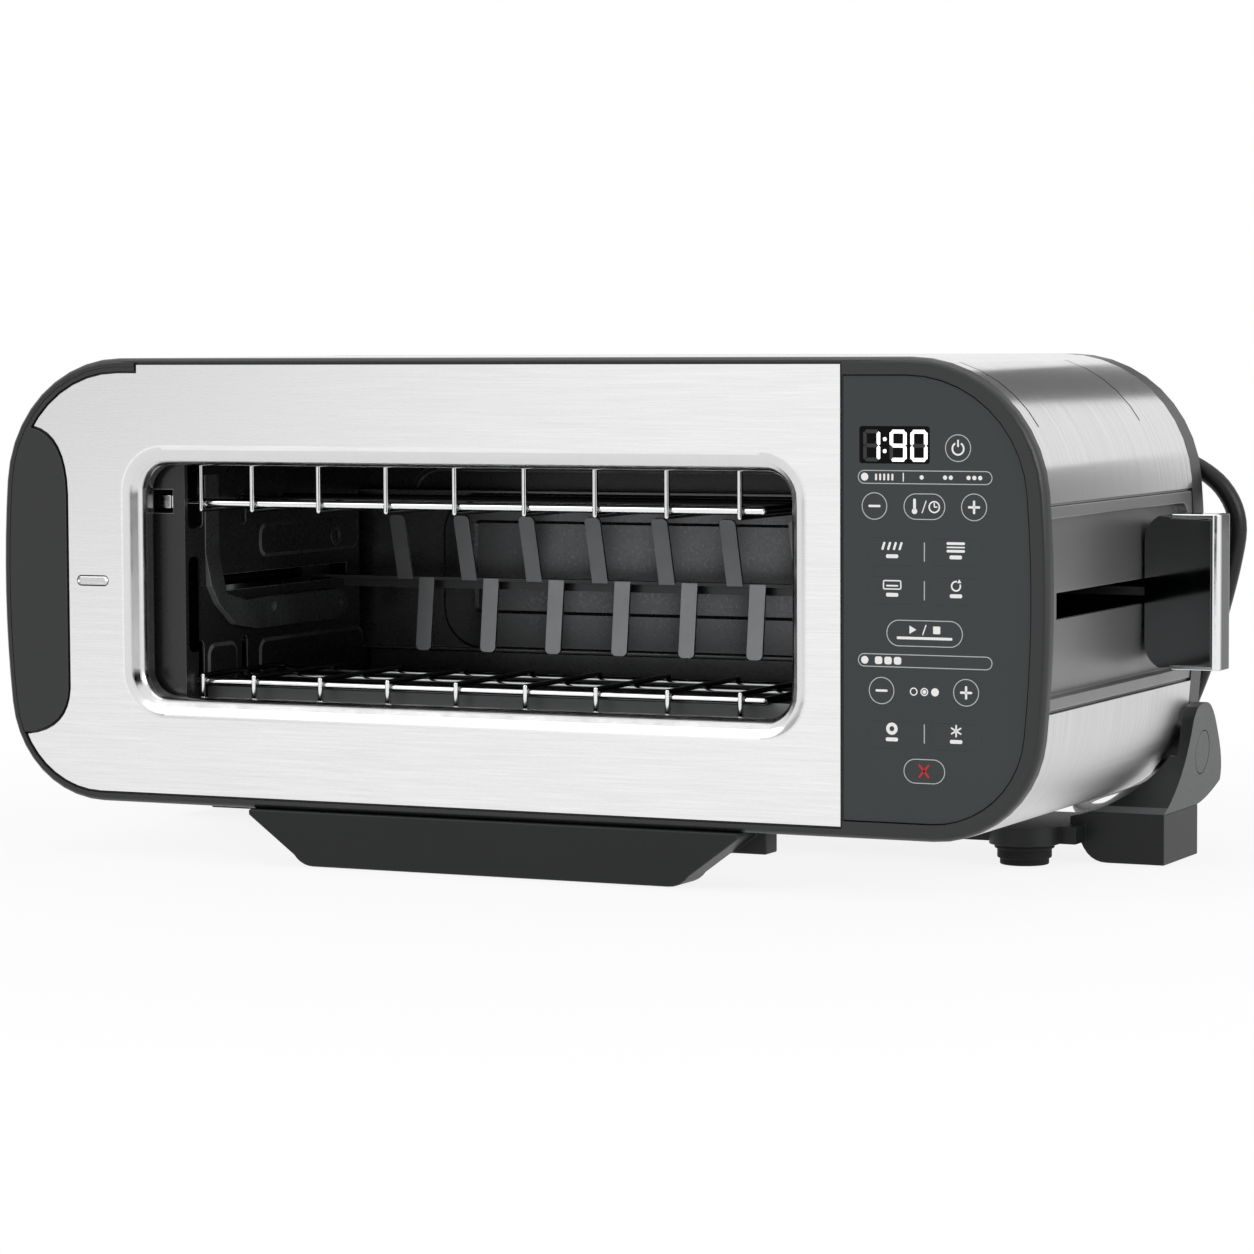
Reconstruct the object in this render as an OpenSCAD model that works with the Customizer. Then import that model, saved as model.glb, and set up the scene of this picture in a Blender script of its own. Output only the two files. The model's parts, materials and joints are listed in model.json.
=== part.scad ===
// Flip toaster: a wide grill and toaster that turns back on its stand.
// Lying flat it is a small open oven, turned upright it is a long-slot toaster.
// Millimetres. X to the right, Y to the rear, Z up from the counter.

/* [Body] */
// Width over the bulged sides
body_w = 418; // [410:1:440]
// Height of the shell
body_h = 166; // [160:1:180]
// Depth from the front face to the rear cover
body_d = 176; // [172:1:190]
// Clearance from the counter to the underside
ground_gap = 20; // [19:0.5:26]
// Radius of the upper corners
top_corner_r = 50; // [44:1:54]
// Radius of the lower corners
low_corner_r = 40; // [36:1:44]
// Radius of the bulged sides
side_bulge_r = 460; // [400:5:600]
// Thickness of the sheet steel
sheet_t = 0.8; // [0.6:0.1:1.2]
// Thickness of moulded walls
wall_t = 2.2; // [1.8:0.1:2.8]
// Depth of the rear cover's rim
rear_rim = 14; // [12:0.5:18]

/* [Front] */
// Depth of the front bezel
bezel_d = 6; // [6:0.5:9]
// Setback of the bezel's front edge
bezel_edge = 2; // [1:0.5:3]
// Depth of the recess that holds the front plates
seat_d = 3.2; // [2.8:0.1:4]
// Margin of the bezel round the fascia
fascia_margin = 3.2; // [2.5:0.1:5]
// Margin of the bezel round the control panel
panel_margin = 6; // [4:0.5:8]
// Width of the control end, from the joint to the side
panel_w = 75; // [70:1:80]
// Thickness of the fascia sheet
fascia_t = 1; // [0.8:0.1:1.2]
// Gap between front plates
seam = 1; // [0.4:0.1:1.2]
// Gap round the fascia
fascia_gap = 0.8; // [0.4:0.1:1]
// Rise of the fascia's top edge above its even margin
fascia_rise = 1.5; // [0:0.1:1.6]
// Width of the window hole
window_w = 262; // [240:1:264]
// Height of the window hole
window_h = 86.4; // [80:0.2:92]
// Corner radius of the window hole
window_r = 10; // [6:0.5:16]
// Window centre to the left of the body centre
window_left = 18; // [14:1:24]
// Width of the flared window lip
lip_w = 5.3; // [4:0.1:7]
// Depth of the flared window lip
lip_d = 5; // [4:0.5:7]

/* [Grip] */
// Width of the side grip at its middle
grip_w = 28.5; // [24:0.5:34]
// Upper end of the grip below the top
grip_top_gap = 26; // [22:1:34]
// Lower end of the grip above the underside
grip_low_gap = 25; // [22:1:34]
// Length of the grip's strip along the top, from the side
grip_tab = 59; // [52:1:70]
// Width of the grip's strip
grip_strip = 1.6; // [1.2:0.1:4]

/* [Controls] */
// Diameter of the round keys
key_d = 9.8; // [8:0.2:11]
// Width of the short pill keys
pill_w = 15.4; // [13:0.2:18]
// Width of the start key
start_w = 28; // [22:0.5:32]
// Height of the pill keys
pill_h = 9.2; // [8:0.2:10]
// Width of the function keys
function_w = 18; // [14:0.5:20]
// Height of the function keys
function_h = 9; // [7:0.5:10]
// Gap round each key
key_gap = 0.15; // [0.1:0.05:0.3]
// Travel of the keys
key_travel = 0.5; // [0.3:0.1:0.8]
// Width of the display
display_w = 25.8; // [22:0.2:28]
// Height of the display
display_h = 12.8; // [10:0.2:15]

/* [Side panels] */
// Height of the side panels
side_h = 70; // [66:1:80]
// Side panel centre below mid height
side_drop = 2.5; // [0:0.5:6]
// Width of the side panel's ledges
ledge_w = 4.5; // [3:0.5:6]
// Depth of the side recess
recess_d = 5; // [3:0.5:7]
// Radius of the recess at its rear corners
recess_r = 6; // [3:0.5:10]
// Height of the lever slot
slot_h = 9; // [7:0.5:12]
// Gap between the side panels and the wraps
wrap_gap = 0.8; // [0.4:0.1:1]
// Width of the slits in the upper wrap
slit_w = 1; // [0.6:0.1:1.2]

/* [Lever and carriage] */
// Height of the lever
lever_h = 55; // [44:1:58]
// Thickness of the lever front to back
lever_t = 16; // [12:1:20]
// Reach of the lever past the side
lever_reach = 24; // [18:1:30]
// Thickness of the lever's bright band
band_t = 3; // [2:0.5:4]
// Parked carriage bar ahead of the cavity's back
bar_back = 28; // [25:1:34]
// Gap from the carriage to the racks' front rail at the end of its travel
bar_stop = 20; // [18:1:40]
// Front edge of the carriage's sheet ahead of its bar
sheet_front = 5; // [3:0.5:6]
// Height of the bar under the carriage's sheet
bar_h = 3.4; // [2.6:0.2:4]
// Thickness of the carriage sheet
bar_t = 1.2; // [1:0.1:2]
// Width of each carriage finger
finger_w = 6.6; // [5:0.2:8]
// Height reached by each finger
finger_rise = 25.5; // [18:0.5:26]
// Depth reached by each finger below the carriage's sheet
finger_drop = 28.5; // [20:0.5:29]
// Diameter of the guide rods
guide_d = 5; // [4:0.5:6]
// Radial clearance of the sliders on the rods
slide_fit = 0.05; // [0.02:0.01:0.1]

/* [Racks] */
// Spacing of the cross wires
rack_pitch = 28.4; // [26:0.2:29]
// Height between the two racks' rails
rack_gap = 67.4; // [64:0.2:72]
// Middle of the racks below mid height
rack_drop = 5.1; // [2:0.1:7]
// Diameter of the cross wires
wire_d = 2; // [1.6:0.1:2.6]
// Diameter of the rails
rail_d = 3.2; // [2.6:0.1:4]
// Front rail behind the front
rack_front = 25; // [22:0.5:27]
// Middle rail, carried in the walls' slots, behind the front
rack_mid = 57; // [52:0.5:62]
// Rear rail behind the front
rack_rear = 85; // [78:0.5:92]
// Height of the wires' upright front ends
wire_rise = 20; // [17:0.5:21]
// Travel of the upper rack towards the lower one
upper_travel = 7; // [5:0.5:8]
// Travel of the lower rack towards the upper one
lower_travel = 13; // [8:0.5:14]

/* [Cavity] */
// Width between the cavity's side walls
cavity_w = 251; // [246:1:254]
// Cavity's middle to the right of the window's
cavity_right = 6.5; // [5:0.5:8]
// Height between the reflectors
cavity_h = 122; // [116:1:126]
// Gap from the cavity's back to the rear face
cavity_back_gap = 18; // [16:0.5:20]
// Front flange of the cavity, behind the front
cavity_front = 14; // [13:0.5:16]
// Width of the cavity's front flange
flange_w = 22; // [18:1:23]
// Height of the crumb tray
tray_h = 64; // [50:1:65]

/* [Stand] */
// Hinge axis ahead of the rear face
hinge_back = 12; // [9:0.5:14]
// Hinge axis above the counter
hinge_z = 38; // [36:0.5:42]
// Diameter of the hinge pins
pin_d = 6; // [5:0.5:8]
// Diameter of the hinge hubs
hub_d = 18; // [14:0.5:20]
// Outer face of the legs, past the body's side
leg_out = 1; // [0.5:0.5:3]
// Height of the legs
leg_h = 18.5; // [17:0.5:19]
// Width of the legs
leg_w = 30; // [26:1:36]
// Front of the legs ahead of the hinge
leg_front = 41; // [36:1:46]
// Depth of the legs
leg_d = 40; // [34:1:42]
// Outward lean of the arms, in degrees
arm_lean = 4.5; // [3:0.5:8]
// Top of the arms above the hinge
arm_rise = 18.5; // [16:0.5:22]
// Thickness of the crossbar
bar_thick = 6.5; // [5:0.5:7]
// Diameter of the round feet
foot_d = 22; // [18:0.5:26]
// Round feet from the middle
foot_x = 161; // [150:1:166]
// Left round foot closer to the middle by
foot_shift = 14; // [0:1:20]
// Depth of the heel that the left leg stands on
heel_d = 10; // [9:0.5:14]
// Height of the left leg's front part above the counter
heel_h = 5; // [3:0.5:6]
// Round feet ahead of the legs
foot_front = 13; // [8:1:16]
// Diameter of the pivot caps
cap_d = 16; // [14:0.5:18]

/* [Feet] */
// Width of the front foot at its top
front_foot_w = 197; // [180:1:210]
// Width of the front foot on the counter
front_foot_low = 151; // [130:1:170]
// Front foot's middle to the left of the body centre
front_foot_left = 3; // [0:1:10]
// Depth of the front foot
front_foot_d = 16; // [10:1:24]
// Setout of the front foot from the front
front_foot_out = 2; // [0:0.5:4]
// Diameter of the rear feet
rear_foot_d = 26; // [20:1:32]
// Rear feet from the middle
rear_foot_x = 110; // [100:1:114]
// Rear feet below the top
rear_foot_drop = 26; // [22:1:40]

/* [Cord] */
// Diameter of the cord
cord_d = 7; // [6.5:0.1:7.2]
// Outer turn of the cord's coil, radius
coil_r = 42; // [40:0.5:44]
// Step from turn to turn
coil_step = 7.9; // [7.8:0.1:8.4]
// Length of the plug's body
plug_len = 36; // [30:1:40]
// Width of the plug's body
plug_w = 26; // [22:0.5:28]
// Length of the plug's tapered neck
plug_neck = 18; // [14:1:26]
// Length of the plug's blades
blade_l = 17; // [16:0.5:18]

/* [Hidden] */

$fn = 48;
corner_steps = 10;
side_steps = 8;
cut = 1;

// Main levels of the body
side_x = body_w / 2;
z_low = ground_gap;
z_high = ground_gap + body_h;
z_mid = (z_low + z_high) / 2;
rear_y = body_d - rear_rim;
hinge_y = body_d - hinge_back;
leg_y = hinge_y - leg_front;
foot_y = leg_y - foot_front;
rear_foot_end = hinge_y + hinge_z;

// Centre of the bulge arc and of the corner arcs
bulge_x = side_bulge_r - side_x;
top_cz = z_high - top_corner_r;
low_cz = z_low + low_corner_r;
top_cx = sqrt(pow(side_bulge_r - top_corner_r, 2) - pow(top_cz - z_mid, 2)) - bulge_x;
low_cx = sqrt(pow(side_bulge_r - low_corner_r, 2) - pow(low_cz - z_mid, 2)) - bulge_x;
top_a = atan2(top_cz - z_mid, top_cx + bulge_x);
low_a = atan2(z_mid - low_cz, low_cx + bulge_x);

// Front plates
split_x = side_x - panel_w;
window_x = -window_left;
plate_y = 0.7;
seat_back = seat_d + wall_t;
panel_open_w = panel_w * 0.72;
panel_open_h = body_h * 0.8;
board_y = seat_back + 5.6;
circuit_t = 1.6;
switch_w = 6;
switch_t = 2.1;
key_slack = 0.1;
stem_w = 3;
panel_x = split_x + panel_w * 0.403;
grip_x = -side_x + grip_w;
tab_x = -side_x + grip_tab;

// Side panels, lever and carriage
cavity_rear = body_d - cavity_back_gap;
bar_y = cavity_rear - bar_back;
lever_y = bar_y - lever_t;
carriage_travel = bar_y - rack_front - bar_stop;
side_z = z_mid - side_drop;
side_top = side_z + side_h / 2;
side_low = side_z - side_h / 2;
skin_gap = 0.4;
lip_gap = sheet_t + 0.6;
lip_rise = 2.5;
recess_rim = 5;
lever_in = side_x - recess_d + 1.2;
lever_out = side_x + lever_reach;
carriage_z = side_z;
finger_y = bar_y - sheet_front;
sheet_z = carriage_z - 2.5;
guide_slot_h = 6;
slider_w = 12;
slider_l = 16;
stem_t = 3;
stem_d = 12;
flange_d = lever_t + 11;
band_reach = 18;
band_lap = 1;
band_inset = 1;
band_proud = 0.6;

// Cavity and racks
cavity_x = window_x + cavity_right;
cavity_l = cavity_x - cavity_w / 2;
cavity_r = cavity_x + cavity_w / 2;
cavity_top = z_mid + cavity_h / 2;
cavity_low = z_mid - cavity_h / 2;
rack_z = z_mid - rack_drop;
rail_hi = rack_z + rack_gap / 2;
rail_lo = rack_z - rack_gap / 2;
rail_past = 5;
rail_slot_w = rail_d + 0.8;
first_wire = cavity_r - 28;
rack_end = first_wire + 8;
wire_count = 8;
end_wire = cavity_l + 2;
guide_out = 14;
guide_l = cavity_l - guide_out;
guide_r = cavity_r + guide_out;
slot_from = bar_y - carriage_travel - 6;
slot_to = bar_y + 6;
heater_gap = 6;
heater_rear = cavity_rear - 13;
ribbon_count = 9;
ribbon_w = 2.4;
ribbon_t = 0.3;
board_t = 0.6;
tray_y = cavity_rear - 9;
tray_d = 7;
board_lift = 16;
board_gap = 10;
relay_w = 18;
back_past = 38;
rod_end = tray_y - 3;
latch_x = 9.5;
latch_z = 29.4;
latch_w = 8.8;

// Stand
leg_x = side_x + leg_out;
arm_in = side_x - 1.3;
arm_top_z = hinge_z + arm_rise;
arm_x_hinge = leg_x + (hinge_z - leg_h) * tan(arm_lean);
arm_x_top = leg_x + (arm_top_z - leg_h) * tan(arm_lean);
bar_top = leg_h - 4.5;
bar_low = bar_top - bar_thick;
cradle_r = low_corner_r + 4;
sweep_r = low_corner_r + 11;
cradle_end = hinge_y - 0.76 * arm_rise;
feet_x = [foot_x, foot_shift - foot_x];
pad_t = 0.6;
pad_w = 14;
pad_x = leg_x - leg_w / 2 + 3;
pad_spots = [
    [pad_x, leg_y + leg_d / 2, leg_d - 10],
    [-pad_x, leg_y + leg_d - heel_d / 2, heel_d - 4]
];
hub_in = side_x - 24;
cap_t = 1.5;

// Cord
cord_z = cord_d / 2 + 0.7;
relief_y = body_d + 8;
relief_z = z_mid + 44;
relief_from = side_x - 59;
relief_to = side_x - 26;
relief_end = [relief_to, relief_y, relief_z];
coil_turns = 2.25;
coil_tail = 4 * cord_d;
coil_c = [76, rear_foot_end + 156];
coil_start = [coil_c[0] + coil_r, coil_c[1] - cord_d, cord_z];
tie_a = 225;
blade_gap = 12.7;
blade_t = 1.5;
blade_w = 6.4;

// Shift that puts the origin under the middle of the part
mid_x = (lever_out - arm_x_top) / 2;
mid_y = (rear_foot_end - front_foot_out) / 2;

// Keys: name, kind, then place as shares of the panel's width and of the body's height
KEYS = [
    ["power", "round", 0.16, 0.3133], ["heat_less", "round", -0.2427, 0.1928],
    ["heat_more", "round", 0.24, 0.1928], ["heat_time", "pill", 0, 0.1928],
    ["grill", "function", -0.1573, 0.0994], ["press", "function", 0.1547, 0.0994],
    ["bake", "function", -0.1573, 0.0193], ["warm", "function", 0.1547, 0.0193],
    ["start", "start", 0, -0.0687], ["shade_less", "round", -0.208, -0.1886],
    ["shade_more", "round", 0.2053, -0.1886], ["bun", "function", -0.1573, -0.2801],
    ["frozen", "function", 0.1547, -0.2801], ["cancel", "pill", 0, -0.353]
];
display_at = [-0.1467, 0.319];
function key_at(k) = [panel_x + k[2] * panel_w, z_mid + k[3] * body_h];
function key_place(k) = [key_at(k)[0], 0, key_at(k)[1]];
display_spot = [panel_x + display_at[0] * panel_w, z_mid + display_at[1] * body_h];

// The cord's free route as steps from its relief: down behind the body and back along the counter
ROUTE = [
    [0, 0, 0], [7, 0, 0], [15, 0, -1.5], [23, 0, -5.5], [29.5, 0.5, -11], [34, 1, -18.5],
    [35.5, 1.5, -27], [34, 2, -37], [31, 3, -49], [27, 4.5, -62], [22.5, 6.5, -75], [17, 9, -88],
    [10.5, 12.5, -100.5], [3, 17, -112], [-5.5, 23, -122.5], [-15, 31, -131.5], [-25, 41, -138],
    [-35, 53, -141.5], [-44.5, 67, -142.8], [-52.5, 83, -142.8], [-58.5, 101, -142.8],
    [-63, 121, -142.8], [-65, 141, -142.8], [-65, 159, -142.8], [-65, 174, -142.8]
];
route_last = len(ROUTE) - 1;
route_miss = coil_start - relief_end - ROUTE[route_last];
function route_share(i) = i < 2 ? 0 : i > route_last - 2 ? 1 : (i - 1) / (route_last - 2);
function on_counter(p) = [p[0], p[1], max(p[2], cord_z)];
cord_points = [for (i = [0:route_last]) on_counter(relief_end + ROUTE[i] + route_share(i) * route_miss)];

// Points along an arc
function arc(c, r, a0, a1, n) =
    [for (k = [0:n]) c + r * [cos(a0 + (a1 - a0) * k / n), sin(a0 + (a1 - a0) * k / n)]];

// Points along a curve from a to c, drawn towards b
function bow(a, b, c, n) =
    [for (k = [0:n]) let (t = k / n) (1 - t) * (1 - t) * a + 2 * t * (1 - t) * b + t * t * c];

function unit(v) = v / norm(v);

// Front outline of the body, moved in by a margin
function outline(m) = concat(
    arc([-bulge_x, z_mid], side_bulge_r - m, -low_a, top_a, side_steps),
    arc([top_cx, top_cz], top_corner_r - m, top_a, 90, corner_steps),
    arc([-top_cx, top_cz], top_corner_r - m, 90, 180 - top_a, corner_steps),
    arc([bulge_x, z_mid], side_bulge_r - m, 180 - top_a, 180 + low_a, side_steps),
    arc([-low_cx, low_cz], low_corner_r - m, 180 + low_a, 270, corner_steps),
    arc([low_cx, low_cz], low_corner_r - m, 270, 360 - low_a, corner_steps));

// A front-view shape drawn out from y0 to y1
module along_y(y0, y1) {
    translate([0, y1, 0]) rotate([90, 0, 0]) linear_extrude(y1 - y0) children();
}

// A side-view shape drawn out from x0 to x1
module along_x(x0, x1) {
    translate([x0, 0, 0]) rotate([90, 0, 90]) linear_extrude(x1 - x0) children();
}

module block(x, y, z) {
    translate([x[0], y[0], z[0]]) cube([x[1] - x[0], y[1] - y[0], z[1] - z[0]]);
}

module rod_x(x0, x1, y, z, d) {
    translate([x0, y, z]) rotate([0, 90, 0]) cylinder(h = x1 - x0, d = d);
}

module rod_y(x, y0, y1, z, d) {
    translate([x, y1, z]) rotate([90, 0, 0]) cylinder(h = y1 - y0, d = d);
}

module rod_z(x, y, z0, z1, d) {
    translate([x, y, z0]) cylinder(h = z1 - z0, d = d);
}

module round_rect(w, h, r) {
    square([w - 2 * r, h], center = true);
    square([w, h - 2 * r], center = true);
    for (sx = [-1, 1], sy = [-1, 1]) {
        translate([sx * (w / 2 - r), sy * (h / 2 - r)]) circle(r);
    }
}

module pill(w, h) {
    square([w - h, h], center = true);
    for (s = [-1, 1]) translate([s * (w - h) / 2, 0]) circle(d = h);
}

// Left half plane and right half plane of the front view
module left_of(x) {
    translate([-600 + x, -100]) square([600, 600]);
}

module right_of(x) {
    translate([x, -100]) square([600, 600]);
}

module between_z(z0, z1) {
    translate([-500, z0]) square([1000, z1 - z0]);
}

// A front-view section swept round a rounded rectangle: u is outwards, v is to the rear
module swept_frame(w, h, r) {
    for (k = [0:3]) {
        long = k % 2 == 0 ? w : h;
        wide = k % 2 == 0 ? h : w;
        rotate([0, 90 * k, 0]) translate([long / 2 - r, 0, wide / 2])
            rotate([0, -90, 0]) linear_extrude(long - 2 * r) children();
        rotate([0, 90 * k, 0]) translate([long / 2 - r, 0, -(wide / 2 - r)])
            rotate([-90, 0, 0]) rotate_extrude(angle = 90) translate([r, 0]) children();
    }
}

// Region of the side grip's lobe
module grip_lobe(m) {
    x = grip_x - m;
    top = z_high - grip_top_gap;
    low = z_low + grip_low_gap;
    polygon(concat(
        bow([x - 15, top - m], [x - 0.5, top - 3 - m], [x, top - 25], 8),
        bow([x, low + 17], [x - 1, low + 2 + m], [x - 19, low + m], 8),
        [[-side_x - 10, low + m], [-side_x - 10, top - m]]));
}

// Field of the fascia: an even margin, raised along the top past the grip's strip
module fascia_field(m) {
    polygon(outline(fascia_margin + m));
    intersection() {
        translate([0, fascia_rise]) polygon(outline(fascia_margin + m));
        right_of(tab_x + m);
    }
}

// Region of the steel fascia, drawn in by a margin
module fascia_region(m) {
    difference() {
        union() {
            intersection() {
                fascia_field(m);
                left_of(split_x - m);
                right_of(tab_x + m);
            }
            intersection() {
                polygon(outline(fascia_margin + grip_strip + m));
                left_of(tab_x + m + 0.1);
                between_z(z_mid - 0.1, z_high);
            }
            intersection() {
                polygon(outline(fascia_margin + m));
                left_of(tab_x + m + 0.1);
                between_z(z_low, z_mid);
            }
        }
        grip_lobe(-m);
    }
}

// Region of the side grip with its strip along the top corner
module grip_region(m) {
    difference() {
        intersection() {
            polygon(outline(fascia_margin + 0.05 - m));
            left_of(tab_x + 6 + m);
            between_z(z_low + grip_low_gap - m, z_high);
        }
        fascia_region(m);
    }
}

module panel_region(m) {
    intersection() {
        polygon(outline(panel_margin + m));
        right_of(split_x + m);
    }
}

// Outline of one key, grown by a margin
module key_shape(kind, m) {
    if (kind == "round") circle(d = key_d + 2 * m);
    if (kind == "pill") pill(pill_w + 2 * m, pill_h + 2 * m);
    if (kind == "start") pill(start_w + 2 * m, pill_h + 2 * m);
    if (kind == "function") round_rect(function_w + 2 * m, function_h + 2 * m, 1.5 + m);
}

// Stand: crossbar with its two legs, hollowed round the body, wider behind where the body turns
module leg_shape(r) {
    inner = leg_x - leg_w;
    drop = low_cz - bar_top;
    arm_foot = sqrt(pow(r, 2) - pow(low_cz - leg_h, 2));
    step = max(inner - 6 - low_cx, r > drop ? sqrt(pow(r, 2) - pow(drop, 2)) : 0);
    a0 = -acos(step / r);
    a1 = atan2(leg_h - low_cz, arm_foot);
    polygon(concat(
        [[inner - 6, bar_top], [inner - 6, bar_low]],
        bow([inner - 2, bar_low], [inner + 1, 0], [inner + 8, 0], 6),
        [[leg_x, 0], [leg_x, leg_h]],
        arc([low_cx, low_cz], r, a1, a0, 6)));
}

module stand_base() color("#26282a") {
    difference() {
        union() {
            for (s = [0, 1]) mirror([s, 0, 0]) {
                along_y(leg_y, cradle_end) leg_shape(cradle_r);
                along_y(cradle_end - 1, leg_y + leg_d) leg_shape(sweep_r);
            }
            for (x = feet_x) rod_z(x, foot_y, bar_low, bar_top, foot_d + 4);
            block([-leg_x + leg_w, leg_x - leg_w], [foot_y + 2, leg_y + leg_d - 5], [bar_low, bar_top]);
        }
        for (x = feet_x) rod_z(x, foot_y, bar_low - cut, bar_low + 2, foot_d - 2);
        for (p = pad_spots) translate([p[0], p[1], -cut])
            linear_extrude(pad_t + cut) round_rect(pad_w, p[2], 2.5);
        block([-leg_x - 1, -leg_x + leg_w + 1], [leg_y - cut, leg_y + leg_d - heel_d], [-cut, heel_h]);
    }
}

// Side view of an arm: a leaf that leans back from the leg to the hinge
module arm_shape() {
    r = arm_rise;
    h = [hinge_y, hinge_z];
    heel = [leg_y + leg_d, leg_h];
    polygon(concat(
        bow([leg_y, leg_h], [hinge_y - 1.08 * r, leg_h + 0.54 * r], h + r * [-0.76, 0.68], 10),
        bow(h + r * [-0.76, 0.68], h + r * [-0.6, 1], h + r * [-0.22, 1], 5),
        bow(h + r * [0.11, 1], h + r * [0.49, 0.95], h + r * [0.92, 0.38], 6),
        bow(h + r * [0.92, 0.38], h + r * [1.51, -0.32], h + r * [1.35, -0.7], 6),
        bow(h + r * [1.35, -0.7], h + r * [0.54, -1], heel, 6)));
}

module hinge_arm(s) {
    reach = 60;
    mirror([s < 0 ? 1 : 0, 0, 0]) difference() {
        intersection() {
            along_x(low_cx, arm_x_top + 1) arm_shape();
            translate([leg_x, 0, leg_h]) rotate([0, arm_lean, 0])
                translate([-reach, 0, -2]) cube([reach, 400, reach]);
            union() {
                block([arm_in, arm_x_top + 2], [0, 400], [leg_h, arm_top_z + 1]);
                difference() {
                    block([low_cx, arm_x_top + 2], [leg_y, cradle_end], [leg_h, hinge_z]);
                    rod_y(low_cx, 0, 400, low_cz, 2 * cradle_r);
                }
            }
        }
        rod_x(arm_in - cut, arm_x_top + cut, hinge_y, hinge_z, pin_d + 0.04);
        cap_disc(cap_d + 0.5, cut);
    }
}

// A disc let into the leaning outer face of an arm, at the hinge
module cap_disc(d, proud) {
    translate([arm_x_hinge, hinge_y, hinge_z]) rotate([0, arm_lean - 90, 0])
        translate([0, 0, -proud]) cylinder(h = cap_t + proud, d = d);
}

module hinge_arm_right() color("#4a4c4e") hinge_arm(1);
module hinge_arm_left() color("#4a4c4e") hinge_arm(-1);

module pivot_caps() color("#55575a") {
    for (s = [0, 1]) mirror([s, 0, 0]) cap_disc(cap_d, 0);
}

// Pins fixed in the arms, turning in the body's hubs
module hinge_pins() color("silver") {
    for (s = [0, 1]) mirror([s, 0, 0]) {
        rod_x(hub_in + 1, arm_x_hinge - 2, hinge_y, hinge_z, pin_d);
    }
}

// Round rubber feet under the crossbar, stepped in three
module stand_feet() color("#151515") {
    for (x = feet_x) {
        rod_z(x, foot_y, 0, 2.4, foot_d - 4);
        rod_z(x, foot_y, 2.4, bar_low - 1.6, foot_d - 2);
        rod_z(x, foot_y, bar_low - 1.6, bar_low, foot_d);
        rod_z(x, foot_y, bar_low, bar_low + 1.9, foot_d - 2.2);
    }
}

module leg_pads() color("#151515") {
    for (p = pad_spots) translate([p[0], p[1], 0])
        linear_extrude(pad_t) round_rect(pad_w - 0.2, p[2] - 0.2, 2.4);
}

// Hubs of the body that turn on the hinge pins
module hinge_hubs() color("#26282a") {
    for (s = [0, 1]) mirror([s, 0, 0]) difference() {
        union() {
            rod_x(hub_in, arm_in - 0.4, hinge_y, hinge_z, hub_d - 0.6);
            rod_x(hub_in - 4, hub_in, hinge_y, hinge_z, hub_d - 2);
        }
        rod_x(hub_in - 5, arm_in, hinge_y, hinge_z, pin_d + 2 * slide_fit);
    }
}

// Room for the hubs in the shell's lower rear corners
module hub_space() {
    for (s = [0, 1]) mirror([s, 0, 0]) rod_x(hub_in - 6, side_x + cut, hinge_y, hinge_z, hub_d);
}

// Dark bezel round the front plates, with a collar behind the window
module front_bezel() color("#333537") {
    collar_w = window_w + 2 * lip_w + 2;
    collar_h = window_h + 2 * lip_w + 2;
    difference() {
        union() {
            difference() {
                union() {
                    along_y(0, bezel_d) polygon(outline(bezel_edge));
                    along_y(0.35 * bezel_edge, bezel_d) polygon(outline(0.55 * bezel_edge));
                    along_y(0.75 * bezel_edge, bezel_d) polygon(outline(0.2 * bezel_edge));
                    along_y(1.5 * bezel_edge, bezel_d) polygon(outline(0));
                }
                along_y(seat_back, bezel_d + cut) polygon(outline(wall_t));
            }
            along_y(seat_back - 0.2, cavity_front)
                translate([window_x, z_mid])
                    round_rect(collar_w + 2 * wall_t, collar_h + 2 * wall_t, window_r + lip_w + 1 + wall_t);
        }
        along_y(-cut, plate_y + fascia_t) intersection() {
            fascia_field(0);
            left_of(split_x);
        }
        along_y(-cut, seat_d) grip_region(0.05);
        along_y(-cut, seat_d) panel_region(0);
        along_y(-cut, cavity_front + cut)
            translate([window_x, z_mid]) round_rect(collar_w, collar_h, window_r + lip_w + 1);
        along_y(-cut, seat_back + cut) intersection() {
            translate([panel_x, z_mid]) round_rect(panel_open_w, panel_open_h, 4);
            polygon(outline(panel_margin + 2 * wall_t));
        }
    }
}

// Brushed fascia with the flared lip round the window
module front_fascia() color("#c9cbcc") {
    lip_back = cavity_front - plate_y - 3;
    along_y(plate_y, plate_y + fascia_t) difference() {
        fascia_region(fascia_gap);
        translate([window_x, z_mid])
            round_rect(window_w + 2 * lip_w, window_h + 2 * lip_w, window_r + lip_w);
    }
    translate([window_x, plate_y, z_mid]) swept_frame(window_w, window_h, window_r)
        polygon([[lip_w + fascia_t, 0], [lip_w, 0], [0, lip_d - fascia_t], [0, lip_back],
            [fascia_t, lip_back], [fascia_t, lip_d], [lip_w, fascia_t], [lip_w + fascia_t, fascia_t]]);
}

module left_grip() color("#2b2d2f") {
    along_y(0.2, seat_d) grip_region(0);
}

// Control panel with its openings for the keys and the display
module control_panel() color("#42474a") {
    along_y(plate_y, seat_d) difference() {
        panel_region(seam / 2);
        translate(display_spot)
            round_rect(display_w, display_h, 1);
        for (k = KEYS) translate(key_at(k)) key_shape(k[1], key_gap);
    }
}

module display_lens() color("#050506") {
    along_y(plate_y, seat_back) translate(display_spot)
        round_rect(display_w - 0.2, display_h - 0.2, 0.9);
}

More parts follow.
